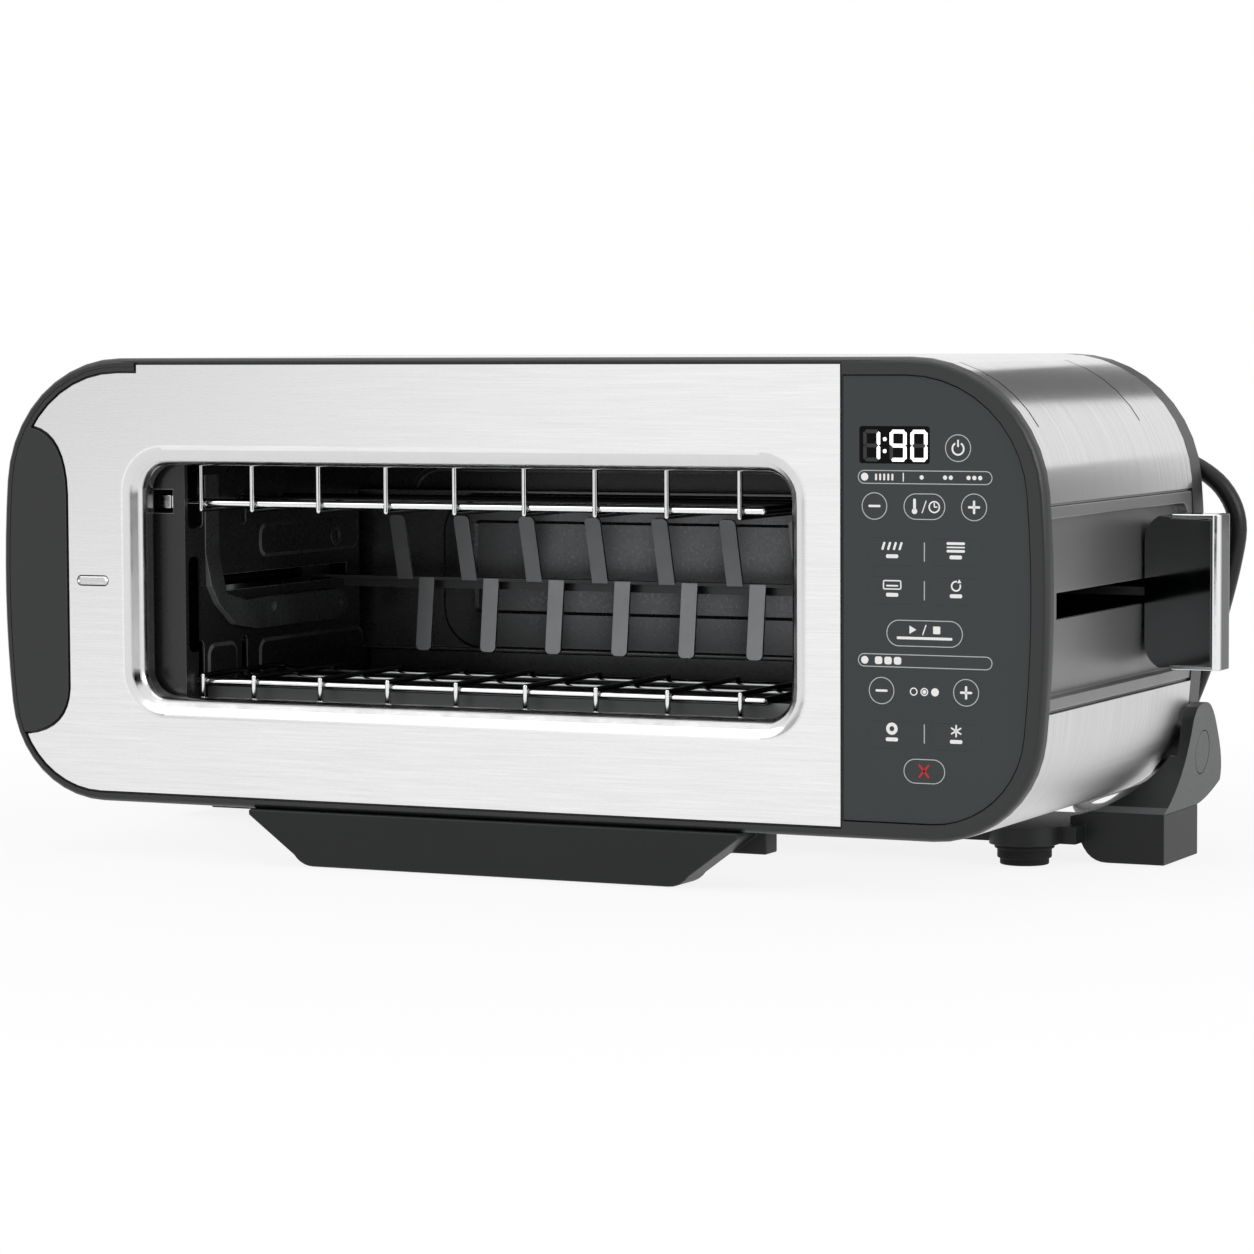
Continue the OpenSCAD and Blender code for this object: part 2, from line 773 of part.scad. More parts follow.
// One key cap with its hidden rim and its plunger
module key(name) color("#42474a") {
    for (k = KEYS) if (k[0] == name) translate(key_place(k)) {
        along_y(plate_y, seat_d + 0.3) key_shape(k[1], 0);
        along_y(seat_d + 0.15, seat_d + 1) key_shape(k[1], 0.8);
        rod_y(0, seat_d + 1, board_y - switch_t - key_travel - key_slack, 0, stem_w);
    }
}

// Board behind the control panel, with a switch for each key
module control_board() color("#1f5a34") {
    translate([panel_x, board_y + circuit_t / 2, z_mid])
        cube([panel_open_w + 2, circuit_t, panel_open_h], center = true);
    for (k = KEYS) translate(key_place(k) + [0, board_y - switch_t / 2, 0])
        cube([switch_w, switch_t, switch_w], center = true);
}

// Sheet steel wraps above and below the side panels
module wrap_ring() {
    difference() {
        polygon(outline(0));
        polygon(outline(sheet_t));
    }
}

module upper_wrap() color("#aeb1b3") {
    difference() {
        along_y(bezel_d, rear_y) intersection() {
            wrap_ring();
            between_z(side_top + wrap_gap, z_high + cut);
        }
        for (s = [0, 1], y = [bezel_d + 8, rear_y - 40]) mirror([s, 0, 0])
            block([low_cx - 10, side_x], [y, y + slit_w], [z_high - 24, z_high - 2]);
    }
}

module lower_wrap() color("#aeb1b3") {
    difference() {
        along_y(bezel_d, rear_y) intersection() {
            wrap_ring();
            between_z(z_low - cut, side_low - wrap_gap);
        }
        hub_space();
    }
}

// Recessed side panel between the wraps, with a lip behind each wrap
module side_shell() {
    along_y(bezel_d, rear_y) difference() {
        intersection() {
            polygon(outline(recess_d));
            between_z(side_low + ledge_w - 1, side_top - ledge_w + 1);
            right_of(0);
        }
        polygon(outline(recess_d + wall_t));
    }
    along_y(bezel_d, rear_y) difference() {
        intersection() {
            polygon(outline(skin_gap));
            union() {
                between_z(side_low + 0.2, side_low + ledge_w);
                between_z(side_top - ledge_w, side_top - 0.2);
            }
            right_of(0);
        }
        polygon(outline(recess_d + wall_t));
    }
    along_y(bezel_d, rear_y) difference() {
        intersection() {
            polygon(outline(lip_gap));
            union() {
                between_z(side_low - lip_rise, side_low + ledge_w / 2);
                between_z(side_top - ledge_w / 2, side_top + lip_rise);
            }
            right_of(0);
        }
        polygon(outline(lip_gap + wall_t));
    }
    along_y(rear_y - recess_rim, rear_y) difference() {
        intersection() {
            polygon(outline(skin_gap));
            between_z(side_low + 0.2, side_top - 0.2);
            right_of(0);
        }
        polygon(outline(recess_d + wall_t));
    }
    for (k = [-1, 1]) recess_corner(k);
}

// Rounded rear corner of the side recess
module recess_corner(k) {
    edge = side_z + k * (side_h / 2 - ledge_w);
    y = rear_y - recess_rim - recess_r;
    difference() {
        along_y(y, rear_y - recess_rim) difference() {
            intersection() {
                polygon(outline(skin_gap));
                between_z(min(edge, edge - k * recess_r) - (k < 0 ? 1 : 0),
                    max(edge, edge - k * recess_r) + (k > 0 ? 1 : 0));
                right_of(0);
            }
            polygon(outline(recess_d + wall_t));
        }
        rod_x(0, side_x + cut, y, edge - k * recess_r, 2 * recess_r);
    }
}

module right_side_panel() color("#3c3e40") {
    difference() {
        side_shell();
        block([side_x - 30, side_x + 5], [slot_from - lever_t, slot_to],
            [side_z - slot_h / 2, side_z + slot_h / 2]);
    }
}

module left_side_panel() color("#3c3e40") {
    mirror([1, 0, 0]) difference() {
        side_shell();
        block([side_x - 30, side_x + 5], [tray_y - 0.6, tray_y + tray_d + 0.6],
            [side_z - tray_h / 2 - 0.6, side_z + tray_h / 2 + 0.6]);
    }
}

// Rear cover with vents, screw posts and the hinge notches
post_y = cavity_rear + sheet_t;
screw_d = 3;
screw_pitch = 150;
screw_spots = [for (i = [-1:1], j = [-1, 1]) [window_x + i * screw_pitch, z_mid + j * 0.46 * cavity_h]];
post_d = 9;
screw_head_d = 7;
screw_head_t = 1.8;
vent_pitch = 20;
vent_w = 3;
vent_h = 28;
vent_row = 24;
module rear_cover() color("#303234") {
    difference() {
        union() {
            difference() {
                union() {
                    along_y(rear_y, body_d - bezel_edge) polygon(outline(0));
                    along_y(body_d - bezel_edge, body_d) polygon(outline(bezel_edge));
                }
                along_y(rear_y - cut, body_d - wall_t) polygon(outline(wall_t));
            }
            for (p = screw_spots) rod_y(p[0], post_y, body_d - wall_t / 2, p[1], post_d);
        }
        for (p = screw_spots) rod_y(p[0], post_y + wall_t, body_d + cut, p[1], screw_d);
        for (i = [-5:5], r = [-1, 1]) if (i != 0)
            translate([i * vent_pitch, body_d, z_mid + r * vent_row])
                cube([vent_w, 3 * wall_t, vent_h], center = true);
        hub_space();
    }
}

module cover_screws() color("#8b8d8f") {
    for (p = screw_spots) {
        rod_y(p[0], post_y + 2 * wall_t, body_d, p[1], screw_d - 0.04);
        rod_y(p[0], body_d, body_d + screw_head_t, p[1], screw_head_d);
    }
}

// Feet on the rear cover that meet the counter when the body stands upright
module rear_feet() color("#1b1c1d") {
    for (s = [-1, 1]) {
        rod_y(s * rear_foot_x, body_d, rear_foot_end - 4, z_high - rear_foot_drop, rear_foot_d);
        rod_y(s * rear_foot_x, rear_foot_end - 4, rear_foot_end, z_high - rear_foot_drop, rear_foot_d - 4);
    }
}

// Front foot: a wide trapezoid under the bezel, with a bracket behind
module front_foot() color("#2b2d2f") {
    half = front_foot_w / 2;
    low = front_foot_low / 2;
    r = 4;
    along_y(-front_foot_out, front_foot_d - front_foot_out) translate([-front_foot_left, 0]) polygon(concat(
        [[-half, z_low], [-half, z_low - 2]],
        bow([-low - r, r], [-low - 1, 0], [-low + r, 0], 5),
        bow([low - r, 0], [low + 1, 0], [low + r, r], 5),
        [[half, z_low - 2], [half, z_low]]));
    block([-front_foot_left - half - 2, -front_foot_left + half + 4],
        [front_foot_d - front_foot_out, front_foot_d + 8], [z_low - 9, z_low]);
}

// Cavity: black coated sheet round the bread space
module guide_slot(x) {
    half = guide_slot_h / 2;
    block([x - 5, x + 5], [slot_from - 2, slot_to + 2], [carriage_z - half, carriage_z + half]);
}

// Upright slots in a wall for the ends of the racks' rails
module rail_slot(x, y, z, travel) {
    along_x(x - 5, x + 5) translate([y, z + travel / 2]) rotate([0, 0, 90])
        pill(abs(travel) + rail_slot_w + 0.4, rail_slot_w);
}

module rail_slots(x) {
    for (y = [rack_front, rack_mid]) {
        rail_slot(x, y, rail_hi, -upper_travel);
        rail_slot(x, y, rail_lo, lower_travel);
    }
}

module side_wall(x, out) {
    near = out > 0 ? x : x - sheet_t;
    difference() {
        union() {
            block([near, near + sheet_t], [cavity_front, cavity_rear], [cavity_low, cavity_top]);
            block(out > 0 ? [x, x + flange_w] : [x - flange_w, x], [cavity_front, cavity_front + sheet_t],
                [cavity_low, cavity_top]);
            block(out > 0 ? [x, x + flange_w] : [x - flange_w, x], [rod_end, rod_end + sheet_t],
                [carriage_z - 8, carriage_z + 8]);
        }
        guide_slot(x);
        rail_slots(x);
        translate([x + out * latch_x, cavity_front, z_mid + latch_z])
            cube([latch_w, 6, latch_w], center = true);
    }
}

module cavity_left_wall() color("#1a1a1b") {
    difference() {
        side_wall(cavity_l, -1);
        block([cavity_l - 5, cavity_l + 5], [tray_y - 0.6, tray_y + tray_d + 0.6],
            [side_z - tray_h / 2 - 0.6, side_z + tray_h / 2 + 0.6]);
    }
}

module cavity_right_wall() color("#1a1a1b") side_wall(cavity_r, 1);

module cavity_back() color("#1a1a1b") {
    block([cavity_l - back_past, cavity_r + back_past], [cavity_rear, cavity_rear + sheet_t],
        [cavity_low, cavity_top]);
    along_y(cavity_rear - 0.9, cavity_rear) translate([window_x, z_mid]) difference() {
        round_rect(cavity_w - 50, 78, 14);
        round_rect(cavity_w - 54, 74, 12);
    }
}

module reflector(z) {
    block([cavity_l - sheet_t, cavity_r + sheet_t], [cavity_front, cavity_rear + sheet_t], [z, z + sheet_t]);
}

module upper_reflector() color("#6d6f70") reflector(cavity_top);
module lower_reflector() color("#6d6f70") reflector(cavity_low - sheet_t);

// Heater: a mica board across the walls, with flat ribbons on its bread side
module heater_board(z) {
    block([cavity_l, cavity_r], [rack_front + 6, cavity_rear], [z, z + board_t]);
}

module heater_ribbon(z) {
    pitch = (heater_rear - rack_front - 20) / (ribbon_count - 1);
    for (k = [0:ribbon_count - 1])
        translate([cavity_l + 6, rack_front + 14 + k * pitch, z]) cube([cavity_w - 12, ribbon_w, ribbon_t]);
}

module upper_heater_board() color("#b8a88a") heater_board(cavity_top - heater_gap);
module upper_heater_ribbon() color("#77726c") heater_ribbon(cavity_top - heater_gap - ribbon_t);
module lower_heater_board() color("#b8a88a") heater_board(cavity_low + heater_gap - board_t);
module lower_heater_ribbon() color("#77726c") heater_ribbon(cavity_low + heater_gap);

// Wire rack: three rails, and cross wires on their bread side with upright front ends
module rack_wire(x, z, up) {
    run_z = z - up * ((rail_d + wire_d) / 2 - 0.2);
    front = rack_front - (rail_d + wire_d) / 2 + 0.2;
    rod_y(x, front, rack_rear, run_z, wire_d);
    rod_z(x, front, up > 0 ? run_z : run_z - wire_rise, up > 0 ? run_z + wire_rise : run_z, wire_d);
    translate([x, front, run_z]) sphere(d = wire_d);
    translate([x, front, run_z + up * wire_rise]) sphere(d = wire_d);
}

module rack(z, up) {
    rod_x(cavity_l - rail_past, rack_end, rack_front, z, rail_d);
    rod_x(cavity_l - rail_past, cavity_r + rail_past, rack_mid, z, rail_d);
    rod_x(end_wire, rack_end, rack_rear, z, rail_d);
    rod_y(rack_end, rack_front, rack_rear, z, rail_d);
    for (y = [rack_front, rack_rear]) translate([rack_end, y, z]) sphere(d = rail_d);
    for (k = [0:wire_count - 1]) rack_wire(first_wire - k * rack_pitch, z, up);
    rack_wire(end_wire, z, up);
}

module upper_rack() color("#d5d7d8") rack(rail_hi, 1);
module lower_rack() color("#d5d7d8") rack(rail_lo, -1);

// Carriage: a sheet with fingers folded up and down, a bar under it, a slider at each end and a stem
module finger(x, up, reach, tilt) {
    long = reach / cos(tilt);
    translate([x, finger_y, sheet_z + bar_t / 2 - up * 0.4]) rotate([up * tilt, 0, 0])
        along_y(0, bar_t) translate([0, up * long / 2]) union() {
            translate([0, -up * 1]) square([finger_w, long - 2], center = true);
            translate([0, up * (long / 2 - 2)]) square([finger_w - 4, 4], center = true);
            for (s = [-1, 1]) translate([s * (finger_w / 2 - 2), up * (long / 2 - 2)]) circle(2);
        }
}

module slider(x) {
    block([x - slider_w / 2, x + slider_w / 2], [bar_y - slider_l / 2, bar_y + slider_l / 2],
        [carriage_z - 6, carriage_z + 6]);
}

module bread_carriage() color("#3a3a3b") {
    difference() {
        union() {
            block([guide_l, guide_r], [finger_y, bar_y + bar_t], [sheet_z, sheet_z + bar_t]);
            block([cavity_l + 3, cavity_r - 3], [bar_y, bar_y + bar_t], [sheet_z - bar_h, sheet_z + bar_t]);
            slider(guide_l);
            slider(guide_r);
            block([guide_r, lever_in + 6], [lever_y + 2, lever_y + 2 + stem_d],
                [carriage_z - stem_t / 2, carriage_z + stem_t / 2]);
        }
        for (x = [guide_l, guide_r]) rod_y(x, 0, body_d, carriage_z, guide_d + 2 * slide_fit);
    }
    for (k = [0:wire_count - 2]) {
        finger(first_wire - rack_pitch + rack_pitch / 3 - k * rack_pitch, 1, finger_rise, 16);
        finger(first_wire - rack_pitch + rack_pitch * 2 / 3 - k * rack_pitch, -1, finger_drop, 7);
    }
}

// Lever outside the right side, with a bright band round its end
module lever_block() color("#121314") {
    top = side_z + lever_h / 2;
    low = side_z - lever_h / 2;
    difference() {
        union() {
            along_y(lever_y, lever_y + lever_t) polygon(concat(
                bow([lever_in + 5, low], [lever_in, low], [lever_in, low + 5], 5),
                bow([lever_in, top - 5], [lever_in, top], [lever_in + 5, top], 5),
                [[lever_out - band_t, top - 1.5], [lever_out - band_t, low + 1.5]]));
            along_x(lever_in, lever_in + 2) translate([lever_y + 1 + flange_d / 2, side_z])
                round_rect(flange_d, lever_h + 2, 6);
        }
        block([lever_in - cut, lever_in + 6.1], [lever_y + 1.9, lever_y + 2.1 + stem_d],
            [carriage_z - stem_t / 2 - 0.1, carriage_z + stem_t / 2 + 0.1]);
        band_space(-cut, cut);
    }
}

// The bright band: a U round the lever's outer end
module band_space(inset, proud) {
    top = side_z + lever_h / 2;
    low = side_z - lever_h / 2;
    y = [lever_y + inset, lever_y + lever_t - inset];
    difference() {
        block([lever_out - band_reach, lever_out], y, [low - proud, top + proud]);
        block([lever_in, lever_out - band_t], y + [-cut, cut], [low + band_lap, top - band_lap]);
    }
}

module lever_band() color("#d9dbdc") {
    band_space(band_inset, band_proud);
}

// Rods that guide the carriage, held between the walls' front flanges and rear tabs
module guide_rods() color("#2a2a2b") {
    for (x = [guide_l, guide_r]) rod_y(x, cavity_front + sheet_t, rod_end, carriage_z, guide_d);
}

// Magnet that holds the carriage down while toasting
module latch_magnet() color("#6b3f22") {
    mag_y = bar_y + slider_l / 2 + 0.6;
    block([guide_r + 8, guide_r + 22], [mag_y, cavity_rear], [carriage_z - 8, carriage_z + 8]);
    block([guide_r - 4, guide_r + 8], [mag_y, mag_y + 2], [carriage_z + 4, carriage_z + 8]);
}

module power_board() color("#1f5a34") {
    low = z_low + board_lift;
    top = low + circuit_t;
    left = split_x + board_gap;
    front = board_y - 1 + 2 * board_gap;
    block([left, side_x - 2 * board_gap - board_gap / 4], [front, cavity_rear - 2 * board_gap], [low, top]);
    for (k = [0:2]) translate([left + relay_w / 3, front + (0.5 + 1.45 * k) * relay_w, top])
        cube([relay_w, relay_w, relay_w * 0.9]);
    for (k = [0:1])
        translate([left + 2 * relay_w, front + (1.7 + 1.4 * k) * relay_w, top])
            cylinder(h = 1.2 * relay_w, d = 0.8 * relay_w);
}

// Tray that catches crumbs at the back of the cavity, pulled out to the left
module crumb_tray() color("#4a4c4e") {
    left = -side_x + 1;
    right = cavity_r - 3;
    z0 = side_z - tray_h / 2;
    z1 = side_z + tray_h / 2;
    block([left, right], [tray_y + tray_d - 1, tray_y + tray_d], [z0, z1]);
    block([left, right], [tray_y, tray_y + tray_d - 1], [z0, z0 + 1]);
    block([left, right], [tray_y, tray_y + tray_d - 1], [z1 - 1, z1]);
    block([left, left + 2], [tray_y, tray_y + tray_d - 1], [z0 + 1, z1 - 1]);
}

// Strain relief: a low housing on the rear cover with a tapered tail along the back
module cord_relief() color("#161617") {
    block([relief_from - 12, relief_from + 4], [body_d, relief_y + 7], [relief_z - 8, relief_z + 8]);
    translate([relief_from + 4, relief_y, relief_z]) rotate([0, 90, 0])
        cylinder(h = relief_to - relief_from - 4, d1 = 13, d2 = cord_d + 2);
}

// A tube of rings along a line of points, closed at both ends
function tangents(p) = [for (i = [0:len(p) - 1])
    unit(p[min(i + 1, len(p) - 1)] - p[max(i - 1, 0)])];

module tube(points, d, sides, ref) {
    n = len(points);
    t = tangents(points);
    rings = [for (i = [0:n - 1]) let (u = unit(cross(t[i], ref)), v = cross(t[i], u))
        for (k = [0:sides - 1]) let (a = 360 * (k + 0.5) / sides)
            points[i] + d / 2 * (u * cos(a) + v * sin(a))];
    walls = [for (i = [0:n - 2], k = [0:sides - 1]) let (a = i * sides + k, b = i * sides + (k + 1) % sides)
        for (f = [[a, b, a + sides], [b, b + sides, a + sides]]) f];
    near_end = [for (k = [1:sides - 2]) [0, k + 1, k]];
    far_end = [for (k = [1:sides - 2]) (n - 1) * sides * [1, 1, 1] + [0, k, k + 1]];
    polyhedron(points = rings, faces = [for (f = concat(walls, near_end, far_end)) [f[0], f[2], f[1]]]);
}

module power_cord() color("#1a1a1b") {
    tube(cord_points, cord_d, 10, [0.6, 0.8, 0]);
}

// The coil spirals in on the counter, climbs a layer and spirals out on top
coil_rings = round(coil_turns * 24);
coil_half = coil_turns / 2;
function coil_radius(t) = coil_r - coil_step * (coil_half - abs(t - coil_half));
function coil_climb(t) = let (s = min(1, max(0, (t - coil_half + 0.25) / 0.5))) s * s * (3 - 2 * s);
function coil_point(t) = [
    coil_c[0] + coil_radius(t) * cos(360 * t),
    coil_c[1] + coil_radius(t) * sin(360 * t),
    cord_z + coil_step * coil_climb(t)];
coil_turn_points = [for (i = [0:coil_rings]) coil_point(coil_turns * i / coil_rings)];
coil_end = coil_turn_points[coil_rings];
coil_points = concat([coil_start], coil_turn_points,
    [coil_end + [-coil_tail / 2, 0, 0], coil_end + [-coil_tail, 0, 0]]);
coil_gap = min([for (i = [0:coil_rings], j = [0:coil_rings]) if (j - i > 8)
    norm(coil_turn_points[j] - coil_turn_points[i])]) - cord_d;
echo(coil_least_gap = coil_gap);

module cord_coil() color("#1a1a1b") {
    tube(coil_points, cord_d, 6, [0, 0, 1]);
}

// Tie round the two layers of the coil
module cord_tie() color("#0d0d0e") {
    r = coil_radius(tie_a / 360);
    half = cord_d / 2 + 0.4;
    translate([coil_c[0], coil_c[1], 0]) rotate([0, 0, tie_a]) difference() {
        block([r - half - 0.6, r + half + 0.6], [-4, 4], [0.05, cord_z + coil_step + half + 0.6]);
        block([r - half, r + half], [-5, 5], [cord_z - half + 0.3, cord_z + coil_step + half]);
    }
}

// Moulded two-blade plug lying beside the coil
module plug() color("#161617") {
    start = coil_end[0] - coil_tail;
    y = coil_end[1];
    z = coil_end[2];
    face = start - plug_neck - plug_len;
    translate([start, y, z]) rotate([0, -90, 0])
        cylinder(h = plug_neck, d1 = cord_d + 3, d2 = 2 * cord_d);
    along_x(face, start - plug_neck) translate([y, z]) round_rect(plug_w, 2 * z, cord_d - 1);
    for (s = [-1, 1]) translate([face - blade_l, y + s * blade_gap / 2 - blade_t / 2, z - blade_w / 2])
        cube([blade_l, blade_t, blade_w]);
}

module place() translate([-mid_x, -mid_y, 0]) children();

place() stand_base();
place() hinge_arm_right();
place() hinge_arm_left();
place() pivot_caps();
place() hinge_pins();
place() stand_feet();
place() leg_pads();
place() power_cord();
place() cord_coil();
place() cord_tie();
place() plug();
place() cord_relief();
place() front_bezel();
place() front_fascia();
place() left_grip();
place() control_panel();
place() display_lens();
place() upper_wrap();
place() lower_wrap();
place() right_side_panel();
place() left_side_panel();
place() rear_cover();
place() cover_screws();
place() rear_feet();
place() front_foot();
place() hinge_hubs();
place() cavity_left_wall();
place() cavity_right_wall();
place() cavity_back();
place() upper_reflector();
place() lower_reflector();
place() upper_heater_board();
place() upper_heater_ribbon();
place() lower_heater_board();
place() lower_heater_ribbon();
place() upper_rack();
place() lower_rack();
place() bread_carriage();
place() lever_block();
place() lever_band();
place() guide_rods();
place() latch_magnet();
place() control_board();
place() power_board();
place() crumb_tray();
place() key("power");  // key_power
place() key("heat_less");  // key_heat_less
place() key("heat_more");  // key_heat_more
place() key("heat_time");  // key_heat_time
place() key("grill");  // key_grill
place() key("press");  // key_press
place() key("bake");  // key_bake
place() key("warm");  // key_warm
place() key("start");  // key_start
place() key("shade_less");  // key_shade_less
place() key("shade_more");  // key_shade_more
place() key("bun");  // key_bun
place() key("frozen");  // key_frozen
place() key("cancel");  // key_cancel
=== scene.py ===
import json
import math

import bmesh
import bpy
from mathutils import Matrix, Vector, geometry, kdtree


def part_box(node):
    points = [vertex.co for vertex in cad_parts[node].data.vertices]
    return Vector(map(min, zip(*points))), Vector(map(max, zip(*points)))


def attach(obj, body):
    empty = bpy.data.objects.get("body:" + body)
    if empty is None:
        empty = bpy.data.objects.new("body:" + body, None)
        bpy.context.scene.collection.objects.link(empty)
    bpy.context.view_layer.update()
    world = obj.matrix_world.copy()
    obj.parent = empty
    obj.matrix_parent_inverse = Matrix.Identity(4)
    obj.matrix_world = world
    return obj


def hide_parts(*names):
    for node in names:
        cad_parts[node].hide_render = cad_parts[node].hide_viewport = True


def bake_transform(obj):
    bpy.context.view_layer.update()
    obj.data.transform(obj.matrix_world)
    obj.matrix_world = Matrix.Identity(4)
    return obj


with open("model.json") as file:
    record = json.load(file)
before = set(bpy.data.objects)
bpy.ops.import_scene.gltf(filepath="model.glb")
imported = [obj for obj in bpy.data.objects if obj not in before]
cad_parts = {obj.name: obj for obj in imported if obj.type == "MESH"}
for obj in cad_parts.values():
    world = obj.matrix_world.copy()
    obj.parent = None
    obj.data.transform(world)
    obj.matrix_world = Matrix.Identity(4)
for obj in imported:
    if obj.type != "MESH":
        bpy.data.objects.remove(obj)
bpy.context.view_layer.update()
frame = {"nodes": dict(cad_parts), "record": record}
cad = frame["nodes"]
bodyOf = {node: body for body, nodes in frame["record"]["behaviour"]["bodies"].items() for node in nodes}
print("frame loaded:", len(cad), "nodes")

# places are in millimetres: X from the shell's middle, Y back from its front, Z up from the counter
bezelLow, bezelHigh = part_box("front_bezel")
middleX = (bezelLow.x + bezelHigh.x) / 2
frontY = bezelLow.y


def at(x, y, z):
    return Vector((middleX + x / 1000, frontY + y / 1000, z / 1000))


# a node's name as one joined word
def camel(name):
    words = name.split("_")
    return words[0] + "".join(word.title() for word in words[1:])


# camera, where the photograph was taken
shot = {"place": (684.9, -1338.2, 193.6), "yaw": 25.30, "pitch": 3.96, "roll": 0.26, "lens": 120.9}
bpy.ops.object.select_all(action="DESELECT")
bpy.ops.object.camera_add()
camera = bpy.context.object
camera.data.lens = shot["lens"]
camera.data.sensor_width = 36
camera.data.clip_start = 0.01
camera.matrix_world = (
    Matrix.Translation(at(*shot["place"]))
    @ Matrix.Rotation(math.radians(shot["yaw"]), 4, "Z")
    @ Matrix.Rotation(math.radians(90 - shot["pitch"]), 4, "X")
    @ Matrix.Rotation(math.radians(-shot["roll"]), 4, "Z")
)
bpy.context.scene.camera = camera
bpy.context.scene.view_settings.view_transform = "Standard"


def linear(code):
    parts = [int(code[i:i + 2], 16) / 255 for i in (1, 3, 5)]
    return [p / 12.92 if p <= 0.04045 else ((p + 0.055) / 1.055) ** 2.4 for p in parts] + [1.0]


def addNode(tree, kind, settings=None, inputs=None):
    node = tree.nodes.new("ShaderNode" + kind)
    for name, value in (settings or {}).items():
        setattr(node, name, value)
    for socket, value in (inputs or {}).items():
        if isinstance(value, bpy.types.NodeSocket):
            tree.links.new(value, node.inputs[socket])
        else:
            node.inputs[socket].default_value = value
    return node


def startFinish(name, plain):
    finish = bpy.data.materials.new(name)
    finish.use_nodes = True
    tree = finish.node_tree
    tree.nodes.clear()
    shader = addNode(tree, "BsdfPrincipled", inputs=plain)
    addNode(tree, "OutputMaterial", inputs={"Surface": shader.outputs[0]})
    return finish, tree, shader


# moulded and coated surfaces: eroded grain, slow colour drift, edges and marked faces paler, partly rubbed wear
# and partly painted highlight
def mouldedFinish(name, look):
    finish, tree, shader = startFinish(name, {
        "IOR": look["ior"], "Metallic": look.get("metal", 0.0), "Specular IOR Level": look.get("shine", 0.3)})
    place = addNode(tree, "TexCoord").outputs["Object"]
    grain = addNode(tree, "TexNoise", inputs={
        "Vector": place, "Scale": 1000 / look["grain"], "Detail": 2.0, "Roughness": 0.6}).outputs[0]
    drift = addNode(tree, "TexNoise", inputs={
        "Vector": place, "Scale": 1000 / look["drift"], "Detail": 3.0}).outputs[0]
    body = addNode(tree, "Mix", {"data_type": "RGBA"}, {
        0: drift, 6: linear(look["body"]), 7: linear(look["tint"])}).outputs[2]
    # the pale edge colour is rubbed wear, and also a painted highlight on edges and on faces turned to the
    # light
    edges = addNode(tree, "Attribute", {"attribute_name": "rub"}).outputs["Fac"]
    patches = addNode(tree, "MapRange", inputs={
        0: drift, 1: 0.3, 2: 0.7, 3: 0.2, 4: look["wear"]}).outputs[0]
    wearGlintMix = addNode(tree, "Math", {"operation": "MULTIPLY"}, {0: edges, 1: patches}).outputs[0]
    colour = addNode(tree, "Mix", {"data_type": "RGBA"}, {
        0: wearGlintMix, 6: body, 7: linear(look["edge"])}).outputs[2]
    rough = addNode(tree, "MapRange", inputs={
        0: grain, 1: 0.3, 2: 0.7, 3: look["rough"][0], 4: look["rough"][1]}).outputs[0]
    raised = addNode(tree, "Bump", inputs={
        "Strength": 1.0, "Distance": look["depth"] / 1000, "Height": grain}).outputs[0]
    tree.links.new(colour, shader.inputs["Base Color"])
    tree.links.new(rough, shader.inputs["Roughness"])
    tree.links.new(raised, shader.inputs["Normal"])
    return finish


# sheet metal with a drawn grain: fine lines one way, broad streaks under them
def brushedFinish(name, look):
    finish, tree, shader = startFinish(name, {"Metallic": 1.0})
    place = addNode(tree, "TexCoord").outputs["Object"]
    layers = []
    for size in look["lines"]:
        scale = [1000 / (look["run"] if axis in look["along"] else size) for axis in "xyz"]
        stretch = addNode(tree, "Mapping", inputs={"Vector": place, "Scale": scale})
        layers.append(addNode(tree, "TexNoise", inputs={
            "Vector": stretch.outputs[0], "Scale": 1.0, "Detail": 2.0, "Roughness": 0.55}).outputs[0])
    lines = addNode(tree, "Mix", {"data_type": "FLOAT"}, {0: 0.4, 2: layers[0], 3: layers[1]}).outputs[0]
    spread = addNode(tree, "MapRange", inputs={0: lines, 1: 0.3, 2: 0.7, 3: 0.0, 4: 1.0}).outputs[0]
    colour = addNode(tree, "Mix", {"data_type": "RGBA"}, {
        0: spread, 6: linear(look["dark"]), 7: linear(look["pale"])}).outputs[2]
    rough = addNode(tree, "MapRange", inputs={
        0: lines, 1: 0.3, 2: 0.7, 3: look["rough"][1], 4: look["rough"][0]}).outputs[0]
    raised = addNode(tree, "Bump", inputs={
        "Strength": 1.0, "Distance": look["depth"] / 1000, "Height": lines}).outputs[0]
    tree.links.new(colour, shader.inputs["Base Color"])
    tree.links.new(rough, shader.inputs["Roughness"])
    tree.links.new(raised, shader.inputs["Normal"])
    return finish


